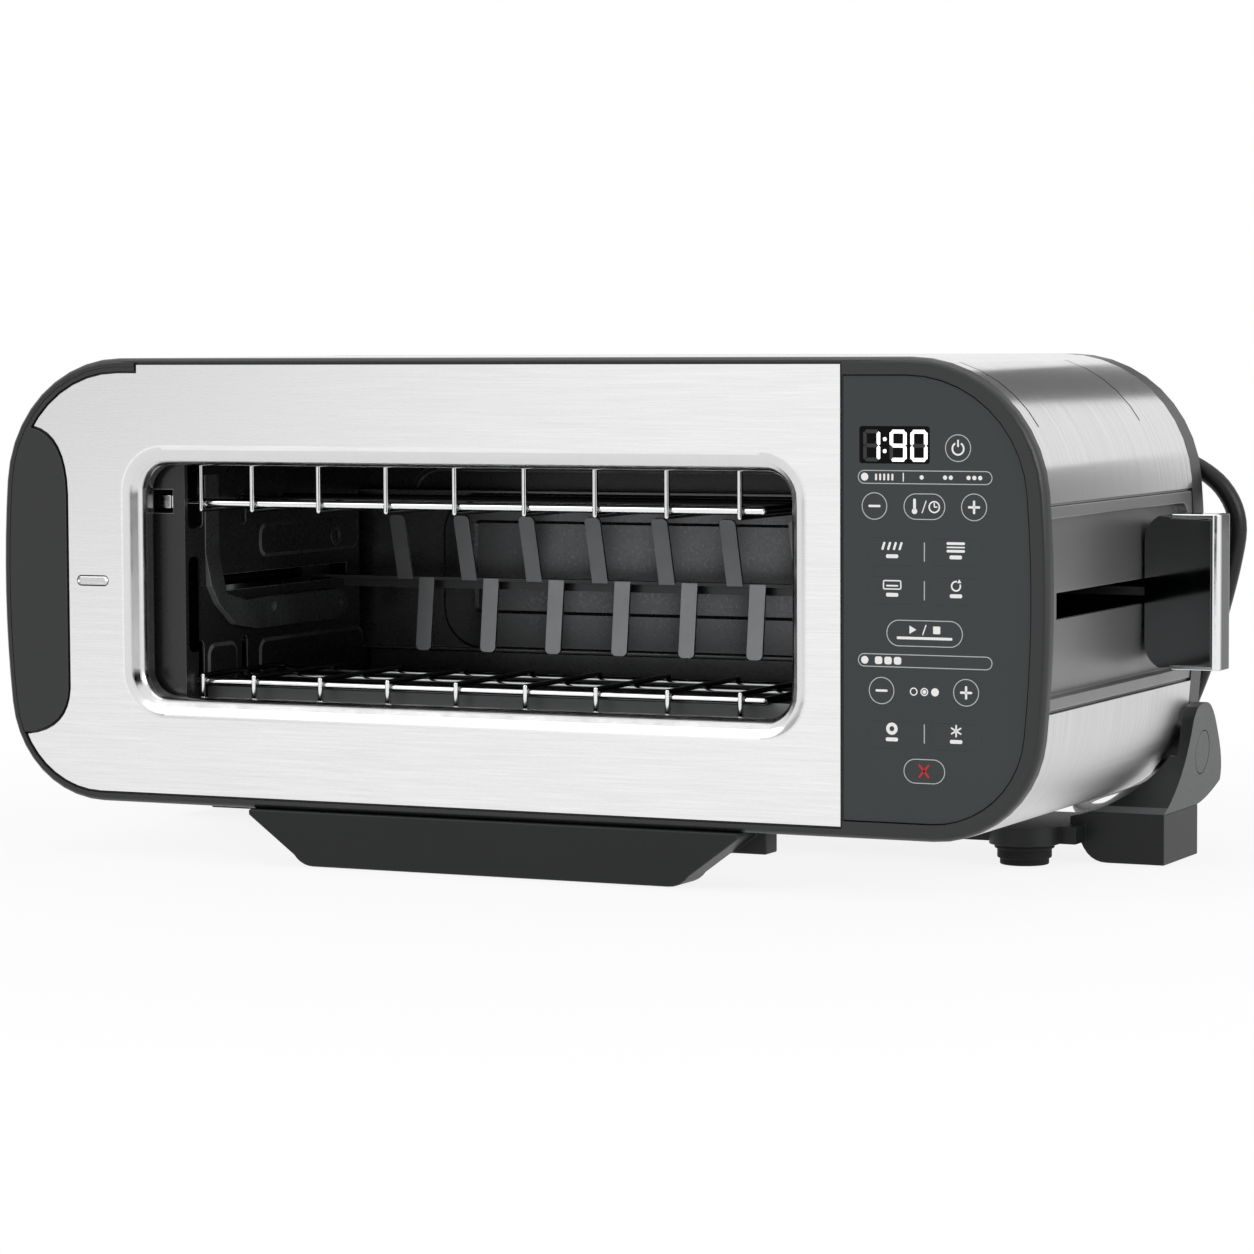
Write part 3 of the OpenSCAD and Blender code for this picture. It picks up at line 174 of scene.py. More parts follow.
# polished or plated metal and gloss lenses: a clear surface with faint smears and handling marks
def glossFinish(name, look):
    finish, tree, shader = startFinish(name, look["plain"])
    place = addNode(tree, "TexCoord").outputs["Object"]
    smear = addNode(tree, "TexNoise", inputs={
        "Vector": place, "Scale": 1000 / look["smear"], "Detail": 5.0, "Distortion": 0.6}).outputs[0]
    colour = addNode(tree, "Mix", {"data_type": "RGBA"}, {
        0: smear, 6: linear(look["body"]), 7: linear(look["tint"])}).outputs[2]
    # a rim colour paints the sides turned from the camera darker: painted reflection
    if "rim" in look:
        turned = addNode(tree, "LayerWeight", inputs={"Blend": 0.5}).outputs["Facing"]
        share = addNode(tree, "MapRange", inputs={0: turned, 1: 0.3, 2: 0.7, 3: 0.0, 4: 1.0}).outputs[0]
        colour = addNode(tree, "Mix", {"data_type": "RGBA"}, {
            0: share, 6: colour, 7: linear(look["rim"])}).outputs[2]
    rough = addNode(tree, "MapRange", inputs={
        0: smear, 1: 0.3, 2: 0.7, 3: look["rough"][0], 4: look["rough"][1]}).outputs[0]
    tree.links.new(colour, shader.inputs["Base Color"])
    tree.links.new(rough, shader.inputs["Roughness"])
    return finish


# screen-printed ink and lit windows: solid cover with the mesh of the screen just showing, and a glow that is
# real in the windows and painted on the ink
def inkFinish(name, look):
    screen = 0.4  # width of its threads in millimetres
    finish, tree, shader = startFinish(name, {
        "IOR": 1.5, "Roughness": 0.5, "Emission Strength": look["glow"]})
    place = addNode(tree, "TexCoord").outputs["Object"]
    mesh = addNode(tree, "TexNoise", inputs={"Vector": place, "Scale": 1000 / screen, "Detail": 1.0}).outputs[0]
    colour = addNode(tree, "Mix", {"data_type": "RGBA"}, {
        0: mesh, 6: linear(look["body"]), 7: linear(look["tint"])}).outputs[2]
    tree.links.new(colour, shader.inputs["Base Color"])
    tree.links.new(colour, shader.inputs["Emission Color"])
    return finish


# charcoal ABS, moulded with a fine eroded grain: satin, a soft wide highlight on every rounded edge, partly
# painted as a paler edge colour
charcoalAbs = mouldedFinish("charcoalAbs", {
    "body": "#262727", "tint": "#2b2c2c", "edge": "#5a5b5c", "wear": 0.5, "ior": 1.52, "shine": 0.42,
    "grain": 0.5, "drift": 70, "rough": (0.32, 0.44), "depth": 0.012})
# blacker ABS of the stand and the foot, the same grain; the arms' flanks are painted in it as shade
standAbs = mouldedFinish("standAbs", {
    "body": "#18191a", "tint": "#1d1e1f", "edge": "#3c3e40", "wear": 0.3, "ior": 1.52, "shine": 0.28,
    "grain": 0.5, "drift": 60, "rough": (0.38, 0.5), "depth": 0.012})
# glass-filled nylon of the stand's arms: grey, a little milky, mould flow in the colour
greyNylon = mouldedFinish("greyNylon", {
    "body": "#4e4f50", "tint": "#58595a", "edge": "#7b7d7e", "wear": 0.4, "ior": 1.53,
    "grain": 0.7, "drift": 25, "rough": (0.38, 0.52), "depth": 0.018})
# metallic lacquer on the recessed sides: flake gives a satin grey that grades with the light
satinLacquer = mouldedFinish("satinLacquer", {
    "body": "#767677", "tint": "#828283", "edge": "#a4a5a6", "wear": 0.4, "ior": 1.5, "metal": 0.75,
    "grain": 0.35, "drift": 40, "rough": (0.3, 0.42), "depth": 0.004})
# printed polycarbonate of the control end: slate, flat sheen, very fine velvet grain
slatePolycarbonate = mouldedFinish("slatePolycarbonate", {
    "body": "#34383a", "tint": "#383c3e", "edge": "#53595b", "wear": 0.2, "ior": 1.58,
    "grain": 0.4, "drift": 60, "rough": (0.46, 0.56), "depth": 0.006})
# heat-proof black enamel on the cavity sheet: slight orange peel, painted glints in a pale edge colour on
# folded edges and on faces turned to the opening
cavityEnamel = mouldedFinish("cavityEnamel", {
    "body": "#1e1e1f", "tint": "#272728", "edge": "#9a9c9e", "wear": 0.9, "ior": 1.55, "shine": 0.42,
    "grain": 1.6, "drift": 30, "rough": (0.26, 0.32), "depth": 0.003})
# steel of the tray, darkened by heat: satin, brighter where it faces the opening
bluedSheet = mouldedFinish("bluedSheet", {
    "body": "#606162", "tint": "#6c6d6f", "edge": "#a2a3a4", "wear": 0.5, "ior": 1.5, "metal": 0.85,
    "grain": 1.2, "drift": 45, "rough": (0.26, 0.36), "depth": 0.005})
# non-stick coating on the carriage: dark grey, satin, speckled, bare metal at the corners
coatedSteel = mouldedFinish("coatedSteel", {
    "body": "#4a4b4c", "tint": "#565759", "edge": "#b4b5b6", "wear": 0.6, "ior": 1.5, "metal": 0.4,
    "grain": 0.5, "drift": 12, "rough": (0.3, 0.44), "depth": 0.01})
# satin sheet of the heater's apron: pale grey that the light from the opening reaches
satinSheet = mouldedFinish("satinSheet", {
    "body": "#8a8b8c", "tint": "#979899", "edge": "#c0c1c2", "wear": 0.4, "ior": 1.5, "metal": 0.3,
    "grain": 0.8, "drift": 30, "rough": (0.34, 0.46), "depth": 0.006})
# plain steel of the fingers: satin, takes the light from the opening, its edges painted paler as highlights
fingerSteel = mouldedFinish("fingerSteel", {
    "body": "#8c8d8f", "tint": "#9a9b9d", "edge": "#c6c7c8", "wear": 0.5, "ior": 1.5, "metal": 0.75,
    "grain": 0.6, "drift": 10, "rough": (0.28, 0.4), "depth": 0.006})
# soft black rubber of the feet: no gloss, dusty in the grain
feetRubber = mouldedFinish("feetRubber", {
    "body": "#121213", "tint": "#1a1b1c", "edge": "#333435", "wear": 0.3, "ior": 1.5, "shine": 0.2,
    "grain": 0.6, "drift": 18, "rough": (0.58, 0.75), "depth": 0.02})
# PVC jacket of the cord and plug: black satin that takes one soft line of light
cordJacket = mouldedFinish("cordJacket", {
    "body": "#121213", "tint": "#1a1a1b", "edge": "#323334", "wear": 0.2, "ior": 1.53,
    "grain": 0.9, "drift": 35, "rough": (0.32, 0.46), "depth": 0.01})
# mica sheet, sooted by the heat: dark flakes under a silky face
micaSheet = mouldedFinish("micaSheet", {
    "body": "#242423", "tint": "#31302e", "edge": "#55524c", "wear": 0.3, "ior": 1.58,
    "grain": 2.4, "drift": 9, "rough": (0.3, 0.6), "depth": 0.02})
# resistance ribbon, oxidised by heat: dull dark grey
oxideRibbon = mouldedFinish("oxideRibbon", {
    "body": "#3c3b3a", "tint": "#4d4b49", "edge": "#85827e", "wear": 0.4, "ior": 1.5, "metal": 0.8,
    "grain": 0.8, "drift": 14, "rough": (0.4, 0.6), "depth": 0.01})
# green solder lacquer of the boards: gloss with weave showing through
boardLacquer = mouldedFinish("boardLacquer", {
    "body": "#175034", "tint": "#1f6140", "edge": "#4c8f6c", "wear": 0.3, "ior": 1.5, "shine": 0.5,
    "grain": 1.1, "drift": 20, "rough": (0.22, 0.34), "depth": 0.01})

# stainless sheet brushed left to right; the real 0.1 mm scratches are drawn at 0.3 mm so that they show
brushedFront = brushedFinish("brushedFront", {
    "pale": "#f6f6f6", "dark": "#e9e9e9", "along": "x", "lines": (0.28, 1.1), "run": 30,
    "rough": (0.22, 0.32), "depth": 0.003})
# the same sheet rolled over the body, brushed round its profile: clear bands of light along its corners
brushedOver = brushedFinish("brushedOver", {
    "pale": "#e0e0e0", "dark": "#c6c6c6", "along": "xz", "lines": (0.3, 0.8), "run": 46,
    "rough": (0.12, 0.19), "depth": 0.003})
# the lower sheet, duller so that the counter's shadow stays soft in it
brushedUnder = brushedFinish("brushedUnder", {
    "pale": "#e4e4e4", "dark": "#cdcdcd", "along": "xz", "lines": (0.3, 0.8), "run": 46,
    "rough": (0.4, 0.48), "depth": 0.003})
# tin-plated steel of the reflectors: rolled grain
platedSheet = brushedFinish("platedSheet", {
    "pale": "#8f9091", "dark": "#6f7072", "along": "x", "lines": (0.6, 3.0), "run": 60,
    "rough": (0.3, 0.45), "depth": 0.004})

# pressed lip, polished by the tool: same steel, tighter reflections
pressedLip = glossFinish("pressedLip", {
    "plain": {"Metallic": 1.0}, "body": "#d6d6d6", "tint": "#e4e4e4", "smear": 9, "rough": (0.14, 0.24)})
# bright chrome on the wires and the lever's band: a white line of light between sides painted dark as a
# reflection
chromePlate = glossFinish("chromePlate", {
    "plain": {"Metallic": 1.0}, "body": "#e6e7e8", "tint": "#f2f2f3", "rim": "#2c2d2e", "smear": 6,
    "rough": (0.05, 0.14)})
# the same wires behind the front rail, painted darker with darker sides, as the shade and dark reflections deep
# in the cavity
heatedChrome = glossFinish("heatedChrome", {
    "plain": {"Metallic": 1.0}, "body": "#6c6d6e", "tint": "#858687", "rim": "#1a1a1b", "smear": 5,
    "rough": (0.12, 0.26)})
# zinc on screws, pins and rods: slightly yellow grey, softer
zincPlate = glossFinish("zincPlate", {
    "plain": {"Metallic": 1.0}, "body": "#aaa9a2", "tint": "#bfbfba", "smear": 3, "rough": (0.2, 0.36)})
# black chrome of the lever: a dark mirror that shows the slot beside it
blackChrome = glossFinish("blackChrome", {
    "plain": {"Metallic": 1.0}, "body": "#6c6d6e", "tint": "#767778", "smear": 22, "rough": (0.03, 0.09)})
# black oxide on the guide rods: a dull sheen; their dark colour also stands in for the shade in the lever's
# slot
blackOxide = glossFinish("blackOxide", {
    "plain": {"Metallic": 0.6}, "body": "#1c1c1d", "tint": "#262627", "smear": 4, "rough": (0.34, 0.5)})
# smoked acrylic over the display
smokedAcrylic = glossFinish("smokedAcrylic", {
    "plain": {"IOR": 1.49, "Specular IOR Level": 0.08}, "body": "#060607", "tint": "#0a0a0b", "smear": 14,
    "rough": (0.1, 0.2)})

# white ink of the legends, with a faint painted glow
whiteInk = inkFinish("whiteInk", {"body": "#f4f4f2", "tint": "#e6e6e4", "glow": 0.15})
# thin grey ink of the outlines
outlineInk = inkFinish("outlineInk", {"body": "#cfd1d1", "tint": "#bfc1c2", "glow": 0.0})
# red ink of the cancel mark, with a faint painted glow
redInk = inkFinish("redInk", {"body": "#c81e22", "tint": "#b0181c", "glow": 0.1})
# lit segments behind the lens, and the same segments unlit
litSegment = inkFinish("litSegment", {"body": "#ffffff", "tint": "#f1f4f6", "glow": 0.9})
darkSegment = inkFinish("darkSegment", {"body": "#232424", "tint": "#1d1e1e", "glow": 0.0})
print("finishes ready:", len(bpy.data.materials))


def only(piece):
    bpy.ops.object.select_all(action="DESELECT")
    piece.select_set(True)
    bpy.context.view_layer.objects.active = piece


def editMode(piece):
    only(piece)
    bpy.ops.object.mode_set(mode="EDIT")


def objectMode():
    bpy.ops.object.mode_set(mode="OBJECT")


# selects points, edges or faces of the piece in edit mode that pass a test
def pick(piece, kind, test):
    bpy.ops.mesh.select_mode(type=kind)
    bpy.ops.mesh.select_all(action="DESELECT")
    shape = bmesh.from_edit_mesh(piece.data)
    for item in {"VERT": shape.verts, "EDGE": shape.edges, "FACE": shape.faces}[kind]:
        item.select_set(bool(test(item)))
    shape.select_flush_mode()
    bmesh.update_edit_mesh(piece.data)


def applyModifier(piece, kind, **settings):
    modifier = piece.modifiers.new(kind.title(), kind)
    for name, value in settings.items():
        setattr(modifier, name, value)
    only(piece)
    bpy.ops.object.modifier_apply(modifier=modifier.name)


# rounds the edges that are sharper than the angle, radius in millimetres
def roundEdges(piece, radius, steps=2, angle=35):
    applyModifier(piece, "BEVEL", width=radius / 1000, segments=steps, limit_method="ANGLE",
                  angle_limit=math.radians(angle))


def smooth(piece, angle=32):
    only(piece)
    bpy.ops.object.shade_smooth_by_angle(angle=math.radians(angle))
    applyModifier(piece, "WEIGHTED_NORMAL", keep_sharp=True, weight=60)


def settle(piece, finish, body):
    if finish:
        piece.data.materials.clear()
        piece.data.materials.append(finish)
    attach(piece, body)
    return piece


# a face value tells the finish where it turns paler: rubbed wear, and a painted highlight on faces turned to
# the light
def markFaces(piece, share):
    rub = piece.data.attributes.new("rub", "FLOAT", "FACE")
    for face in piece.data.polygons:
        rub.data[face.index].value = share(face)


# narrow faces are rounded edges
def markEdges(piece, width):
    points = piece.data.vertices

    def narrow(face):
        corners = [points[i].co for i in face.vertices]
        longest = max((a - b).length for a, b in zip(corners, corners[1:] + corners[:1]))
        return float(face.area < longest * width)
    markFaces(piece, narrow)


# draws small front steps into slopes: the deeper point of each riser moves to the one above it
def easeSteps(piece, levels):
    objectMode()
    depths = [at(0, y, 0).y for y in levels]
    rows = [[v for v in piece.data.vertices if abs(v.co.y - d) < 0.00003] for d in depths]
    for upper, lower in zip(rows, rows[1:]):
        tree = kdtree.KDTree(len(upper))
        for i, point in enumerate(upper):
            tree.insert((point.co.x, 0, point.co.z), i)
        tree.balance()
        rim = set(geometry.convex_hull_2d([(p.co.x, p.co.z) for p in upper]))
        near = [(p, tree.find((p.co.x, 0, p.co.z))) for p in lower]
        for point, (spot, i, gap) in near:
            if gap < 0.00004 and i in rim:
                point.co = upper[i].co
    editMode(piece)
    bpy.ops.mesh.select_all(action="SELECT")
    bpy.ops.mesh.remove_doubles(threshold=0.000002)


# a solid's own shape, merged, its edges rounded by a small radius in millimetres
def dress(node, finish, radius, angle=32, grow=None, levels=None, trim=None):
    piece = bpy.data.objects.new(camel(node if "_" in node else "mains_" + node), cad[node].data.copy())
    bpy.context.scene.collection.objects.link(piece)
    editMode(piece)
    bpy.ops.mesh.customdata_custom_splitnormals_clear()
    bpy.ops.mesh.select_all(action="SELECT")
    bpy.ops.mesh.remove_doubles(threshold=0.000002)
    if levels:
        easeSteps(piece, levels)
    bpy.ops.mesh.dissolve_limited(angle_limit=math.radians(0.2))
    objectMode()
    if grow:
        low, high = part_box(node)
        middle = (low + high) / 2
        for point in piece.data.vertices:
            point.co.x = middle.x + (point.co.x - middle.x) * (1 + 2 * grow / 1000 / (high.x - low.x))
            point.co.z = middle.z + (point.co.z - middle.z) * (1 + 2 * grow / 1000 / (high.z - low.z))
    if trim:
        applyModifier(piece, "BOOLEAN", operation="INTERSECT", solver="EXACT", object=trim)
        bpy.data.objects.remove(trim)
    if radius:
        roundEdges(piece, radius, angle=40)
        markEdges(piece, radius / 1000)
    smooth(piece, angle)
    settle(piece, finish, bodyOf[node])
    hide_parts(node)
    return piece


# which finish and edge radius each moulded or pressed part takes
shell = {
    "left_grip": (charcoalAbs, 0.25), "control_panel": (slatePolycarbonate, 0),
    "display_lens": (smokedAcrylic, 0), "upper_wrap": (brushedOver, 0), "lower_wrap": (brushedUnder, 0),
    "right_side_panel": (satinLacquer, 0.5), "left_side_panel": (satinLacquer, 0.5),
    "rear_cover": (charcoalAbs, 0.5), "front_foot": (standAbs, 0.6), "hinge_hubs": (charcoalAbs, 0.4),
    "rear_feet": (feetRubber, 0.9), "stand_base": (standAbs, 0.7), "stand_feet": (feetRubber, 0.6),
    "leg_pads": (feetRubber, 0.15), "hinge_arm_right": (greyNylon, 0.7), "hinge_arm_left": (greyNylon, 0.7),
    "pivot_caps": (greyNylon, 0.3), "cavity_left_wall": (cavityEnamel, 0.2),
    "cavity_right_wall": (cavityEnamel, 0.2), "cavity_back": (cavityEnamel, 0.25),
    "bread_carriage": (coatedSteel, 0.2), "crumb_tray": (bluedSheet, 0.2), "cover_screws": (zincPlate, 0.4),
    "plug": (cordJacket, 0.8), "cord_tie": (cordJacket, 0.2), "cord_relief": (cordJacket, 0.5)}
pieces = {node: dress(node, *choice) for node, choice in shell.items()}
pieces["front_bezel"] = dress("front_bezel", charcoalAbs, 0.25, angle=48, levels=(0, 0.7, 1.5, 3.0))
for node in [n for n in cad if n.startswith("key_")]:
    pieces[node] = dress(node, slatePolycarbonate, 0, grow=0.14)


# gives some faces of a piece a second finish
def splitFinish(piece, finish, test):
    piece.data.materials.append(finish)
    for face in piece.data.polygons:
        face.material_index = int(test(face))


# racks: painted darker, as shade and dark reflections, from some way behind the front rail
shadedFrom = {"upper_rack": 70, "lower_rack": 28}
for node, depth in shadedFrom.items():
    pieces[node] = dress(node, chromePlate, 0, angle=40)
    splitFinish(pieces[node], heatedChrome, lambda f: f.center.y > at(0, depth, 0).y)

# wraps: the walls of their slits and ends are painted in the dark enamel, as painted shade
for node in ("upper_wrap", "lower_wrap"):
    splitFinish(pieces[node], cavityEnamel, lambda f: abs(f.normal.y) > 0.7)

# arms: the flank towards the body and the faces to the front are painted in the stand's black, as painted shade
for node, side in (("hinge_arm_right", 1), ("hinge_arm_left", -1)):
    splitFinish(pieces[node], standAbs, lambda f: f.normal.x * side < -0.15 or f.normal.y < -0.5)

# lever's band: its upright outer edges are drawn round
bandForm = {"outer": 232.8, "tall": 20.0, "roll": 2.6, "edge": 0.3}
band = pieces["lever_band"] = dress("lever_band", chromePlate, 0)
editMode(band)
pick(band, "EDGE", lambda e: all(v.co.x > at(bandForm["outer"], 0, 0).x for v in e.verts)
     and abs(e.verts[0].co.z - e.verts[1].co.z) > bandForm["tall"] / 1000)
bpy.ops.mesh.bevel(offset=bandForm["roll"] / 1000, offset_type="OFFSET", segments=6, affect="EDGES")
objectMode()
roundEdges(band, bandForm["edge"], angle=40)
smooth(band, 35)

# the carriage's fingers are left bare, its sheet and sliders are coated
fingers = {"low": at(-120, 116, 0), "high": at(90, 126.6, 0), "sheet": 98.6, "clear": 0.8}
splitFinish(pieces["bread_carriage"], fingerSteel, lambda f: (
    fingers["low"].x < f.center.x < fingers["high"].x and fingers["low"].y < f.center.y < fingers["high"].y
    and abs(f.center.z * 1000 - fingers["sheet"]) > fingers["clear"]))
print("shell dressed:", len(pieces), "pieces")

# fascia: plate and lip in one pressing, the lip rolled round and polished
lip = {"x": -18.0, "z": 103.0, "roll": 2.3, "rings": [(136.3, 48.5, 15.3, 0.7), (131.0, 43.2, 10.0, 4.7)],
       "low": at(-155.5, 0, 53.5), "high": at(119.5, 0, 152.5), "edge": 0.18, "level": 0.985}


# distance of a point from a rounded outline, in millimetres
def offOutline(point, half, tall, corner):
    dx = abs(point.x - at(lip["x"], 0, 0).x) * 1000 - half + corner
    dz = abs(point.z - at(0, 0, lip["z"]).z) * 1000 - tall + corner
    return math.hypot(max(dx, 0), max(dz, 0)) + min(max(dx, dz), 0) - corner


def onLip(edge):
    spots = [v.co for v in edge.verts]
    spots.append((spots[0] + spots[1]) / 2)
    return any(all(abs(offOutline(p, *form)) < 0.3 and abs(p.y - at(0, depth, 0).y) < 0.0002 for p in spots)
               for *form, depth in lip["rings"])


fascia = dress("front_fascia", None, 0)
editMode(fascia)
pick(fascia, "EDGE", onLip)
bpy.ops.mesh.bevel(offset=lip["roll"] / 1000, offset_type="OFFSET", segments=5, affect="EDGES")
objectMode()
roundEdges(fascia, lip["edge"], angle=50)
smooth(fascia, 40)
fascia.data.materials.clear()
fascia.data.materials.append(brushedFront)
splitFinish(fascia, pressedLip, lambda f: (
    lip["low"].x < f.center.x < lip["high"].x and lip["low"].z < f.center.z < lip["high"].z
    and abs(f.normal.y) < lip["level"]))
pieces["front_fascia"] = fascia

# inner parts that keep their solids
inner = {
    "hinge_pins": zincPlate, "guide_rods": blackOxide, "latch_magnet": oxideRibbon,
    "upper_reflector": platedSheet, "lower_reflector": platedSheet,
    "upper_heater_board": micaSheet, "lower_heater_board": micaSheet,
    "upper_heater_ribbon": oxideRibbon, "lower_heater_ribbon": oxideRibbon,
    "control_board": boardLacquer, "power_board": boardLacquer}
for node, finish in inner.items():
    cad[node].data.materials.clear()
    cad[node].data.materials.append(finish)
print("inner parts finished:", len(inner))

# cord: out of its relief, down behind the body, back along the counter and round its coil
cordFacts = {"diameter": 7.0, "relief": (183.0, 184.0, 147.0), "coilMiddle": (76.0, 358.0), "coilRadius": 42.0,
             "step": 7.9, "turns": 2.25, "tail": 28.0, "lie": 4.2, "leadIn": 7.0}
cordSteps = [
    (0, 0, 0), (7, 0, 0), (15, 0, -1.5), (23, 0, -5.5), (29.5, 0.5, -11), (34, 1, -18.5),
    (35.5, 1.5, -27), (34, 2, -37), (31, 3, -49), (27, 4.5, -62), (22.5, 6.5, -75), (17, 9, -88),
    (10.5, 12.5, -100.5), (3, 17, -112), (-5.5, 23, -122.5), (-15, 31, -131.5), (-25, 41, -138),
    (-35, 53, -141.5), (-44.5, 67, -142.8), (-52.5, 83, -142.8), (-58.5, 101, -142.8),
    (-63, 121, -142.8), (-65, 141, -142.8), (-65, 159, -142.8), (-65, 174, -142.8)]


def cordRoute(facts, steps):
    last = len(steps) - 1
    route = []
    for i, (dx, dy, dz) in enumerate(steps):
        share = 0 if i < 2 else 1 if i > last - 2 else (i - 1) / (last - 2)
        x, y, z = facts["relief"]
        route.append(Vector((x + dx, y + dy - share * facts["leadIn"], max(z + dz, facts["lie"]))))
    half = facts["turns"] / 2
    rings = round(facts["turns"] * 24)
    for i in range(rings + 1):
        t = facts["turns"] * i / rings
        radius = facts["coilRadius"] - facts["step"] * (half - abs(t - half))
        climb = min(1, max(0, (t - half + 0.25) / 0.5))
        route.append(Vector((
            facts["coilMiddle"][0] + radius * math.cos(2 * math.pi * t),
            facts["coilMiddle"][1] + radius * math.sin(2 * math.pi * t),
            facts["lie"] + facts["step"] * climb * climb * (3 - 2 * climb))))
    end = route[-1]
    return route + [end + Vector((-facts["tail"] * s, 0, 0)) for s in (0.5, 1)]


# a smooth line through the points
def easeLine(points, between=3):
    line = []
    for i in range(len(points) - 1):
        a, b, c, d = points[max(i - 1, 0)], points[i], points[i + 1], points[min(i + 2, len(points) - 1)]
        for k in range(between):
            t = k / between
            line.append(0.5 * (2 * b + (c - a) * t + (2 * a - 5 * b + 4 * c - d) * t * t
                               + (3 * b - a - 3 * c + d) * t * t * t))
    return line + [points[-1]]


cordLine = [at(*p) for p in easeLine(cordRoute(cordFacts, cordSteps))]
curve = bpy.data.curves.new("cordLine", "CURVE")
curve.dimensions = "3D"
curve.bevel_depth = cordFacts["diameter"] / 2000
curve.bevel_resolution = 5
curve.use_fill_caps = True
spline = curve.splines.new("POLY")
spline.points.add(len(cordLine) - 1)
for point, spot in zip(spline.points, cordLine):
    point.co = (*spot, 1)
cord = bpy.data.objects.new("mainsCord", curve)
bpy.context.scene.collection.objects.link(cord)
only(cord)
bpy.ops.object.convert(target="MESH")
cord = bpy.context.object
bpy.ops.object.shade_smooth_by_angle(angle=math.radians(50))
cord.data.materials.clear()
cord.data.materials.append(cordJacket)
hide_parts("power_cord", "cord_coil")
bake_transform(cord)

# flat shapes that face the front, most of them printed on the control end
panelFace = 0.7
inkHeight = 0.06


# a flat sheet, turned by degrees, its corners rounded
def sheet(place, turn, size, corner=0.0, steps=7):
    bpy.ops.object.select_all(action="DESELECT")
    bpy.ops.mesh.primitive_plane_add(size=1, location=at(*place), rotation=[math.radians(a) for a in turn])
    shape = bpy.context.object
    shape.scale = (size[0] / 1000, size[1] / 1000, 1)
    bpy.ops.object.transform_apply(location=True, rotation=True, scale=True)
    if corner:
        editMode(shape)
        bpy.ops.mesh.select_all(action="SELECT")
        bpy.ops.mesh.bevel(offset=corner / 1000, offset_type="OFFSET", segments=steps, affect="VERTICES")
        objectMode()
    return shape


def plate(x, z, w, h, corner=0.0, turn=0, y=panelFace):
    return sheet((x, y, z), (90, turn, 0), (w, h), corner)


# raises the middle of a flat shape by pressing, step by step: width of each slope or land, and its rise
def pressOut(shape, *steps):
    editMode(shape)
    bpy.ops.mesh.select_mode(type="FACE")
    bpy.ops.mesh.select_all(action="SELECT")
    for width, rise in steps:
        bpy.ops.mesh.inset(thickness=width / 1000, depth=rise / 1000)
    objectMode()
    return shape


def hollow(shape, stroke):
    editMode(shape)
    bpy.ops.mesh.select_mode(type="FACE")
    bpy.ops.mesh.select_all(action="SELECT")
    bpy.ops.mesh.inset(thickness=stroke / 1000, depth=0)
    bpy.ops.mesh.delete(type="FACE")
    objectMode()
    return shape


def bar(x, z, w, h, turn=0):
    return plate(x, z, w, h, min(w, h) * 0.42, turn)


def outline(x, z, w, h, stroke=0.3, corner=None):
    return hollow(plate(x, z, w, h, corner or min(w, h) * 0.498), stroke)


def disc(x, z, w, sides=28, turn=0):
    bpy.ops.object.select_all(action="DESELECT")
    bpy.ops.mesh.primitive_circle_add(
        vertices=sides, radius=w / 2000, fill_type="NGON", location=at(x, panelFace, z),
        rotation=(math.radians(90), math.radians(turn), 0))
    bpy.ops.object.transform_apply(location=True, rotation=True, scale=True)
    return bpy.context.object


def ring(x, z, w, stroke):
    return hollow(disc(x, z, w, 40), stroke)


# a ring with a gap, opened between two angles from the right, anticlockwise
def openRing(x, z, w, stroke, start, stop):
    loop = hollow(disc(x, z, w, 48), stroke)
    middle = at(x, panelFace, z)
    editMode(loop)
    pick(loop, "FACE", lambda f: start < math.degrees(math.atan2(
        f.calc_center_median().z - middle.z, f.calc_center_median().x - middle.x)) % 360 < stop)
    bpy.ops.mesh.delete(type="FACE")
    objectMode()
    return loop


# a segment of the display: a hexagon pulled out to its length
def segment(x, z, length, thick, upright):
    hexagon = disc(x, z, thick * 1.1, 6)
    middle = at(x, panelFace, z)
    editMode(hexagon)
    bpy.ops.mesh.select_all(action="SELECT")
    bpy.ops.transform.rotate(value=math.radians(90), orient_axis="Y", center_override=middle)
    for side in (-1, 1):
        pick(hexagon, "VERT", lambda v: (v.co.x - middle.x) * side > thick / 8000)
        bpy.ops.transform.translate(value=(side * (length - thick) / 2000, 0, 0))
    if upright:
        bpy.ops.mesh.select_all(action="SELECT")
        bpy.ops.transform.rotate(value=math.radians(90), orient_axis="Y", center_override=middle)
    objectMode()
    return hexagon


def joined(name, shapes):
    bpy.ops.object.select_all(action="DESELECT")
    for shape in shapes:
        shape.select_set(True)
    bpy.context.view_layer.objects.active = shapes[0]
    bpy.ops.object.join()
    bpy.context.object.name = name
    return bpy.context.object


def printInk(name, shapes, finish, body):
    piece = joined(name, shapes)
    editMode(piece)
    bpy.ops.mesh.select_all(action="SELECT")
    bpy.ops.mesh.remove_doubles(threshold=0.000004)
    bpy.ops.mesh.normals_make_consistent(inside=False)
    pick(piece, "FACE", lambda f: f.normal.y > 0)
    bpy.ops.mesh.flip_normals()
    objectMode()
    applyModifier(piece, "SOLIDIFY", thickness=inkHeight / 1000, offset=1.0)
    return settle(piece, finish, body)


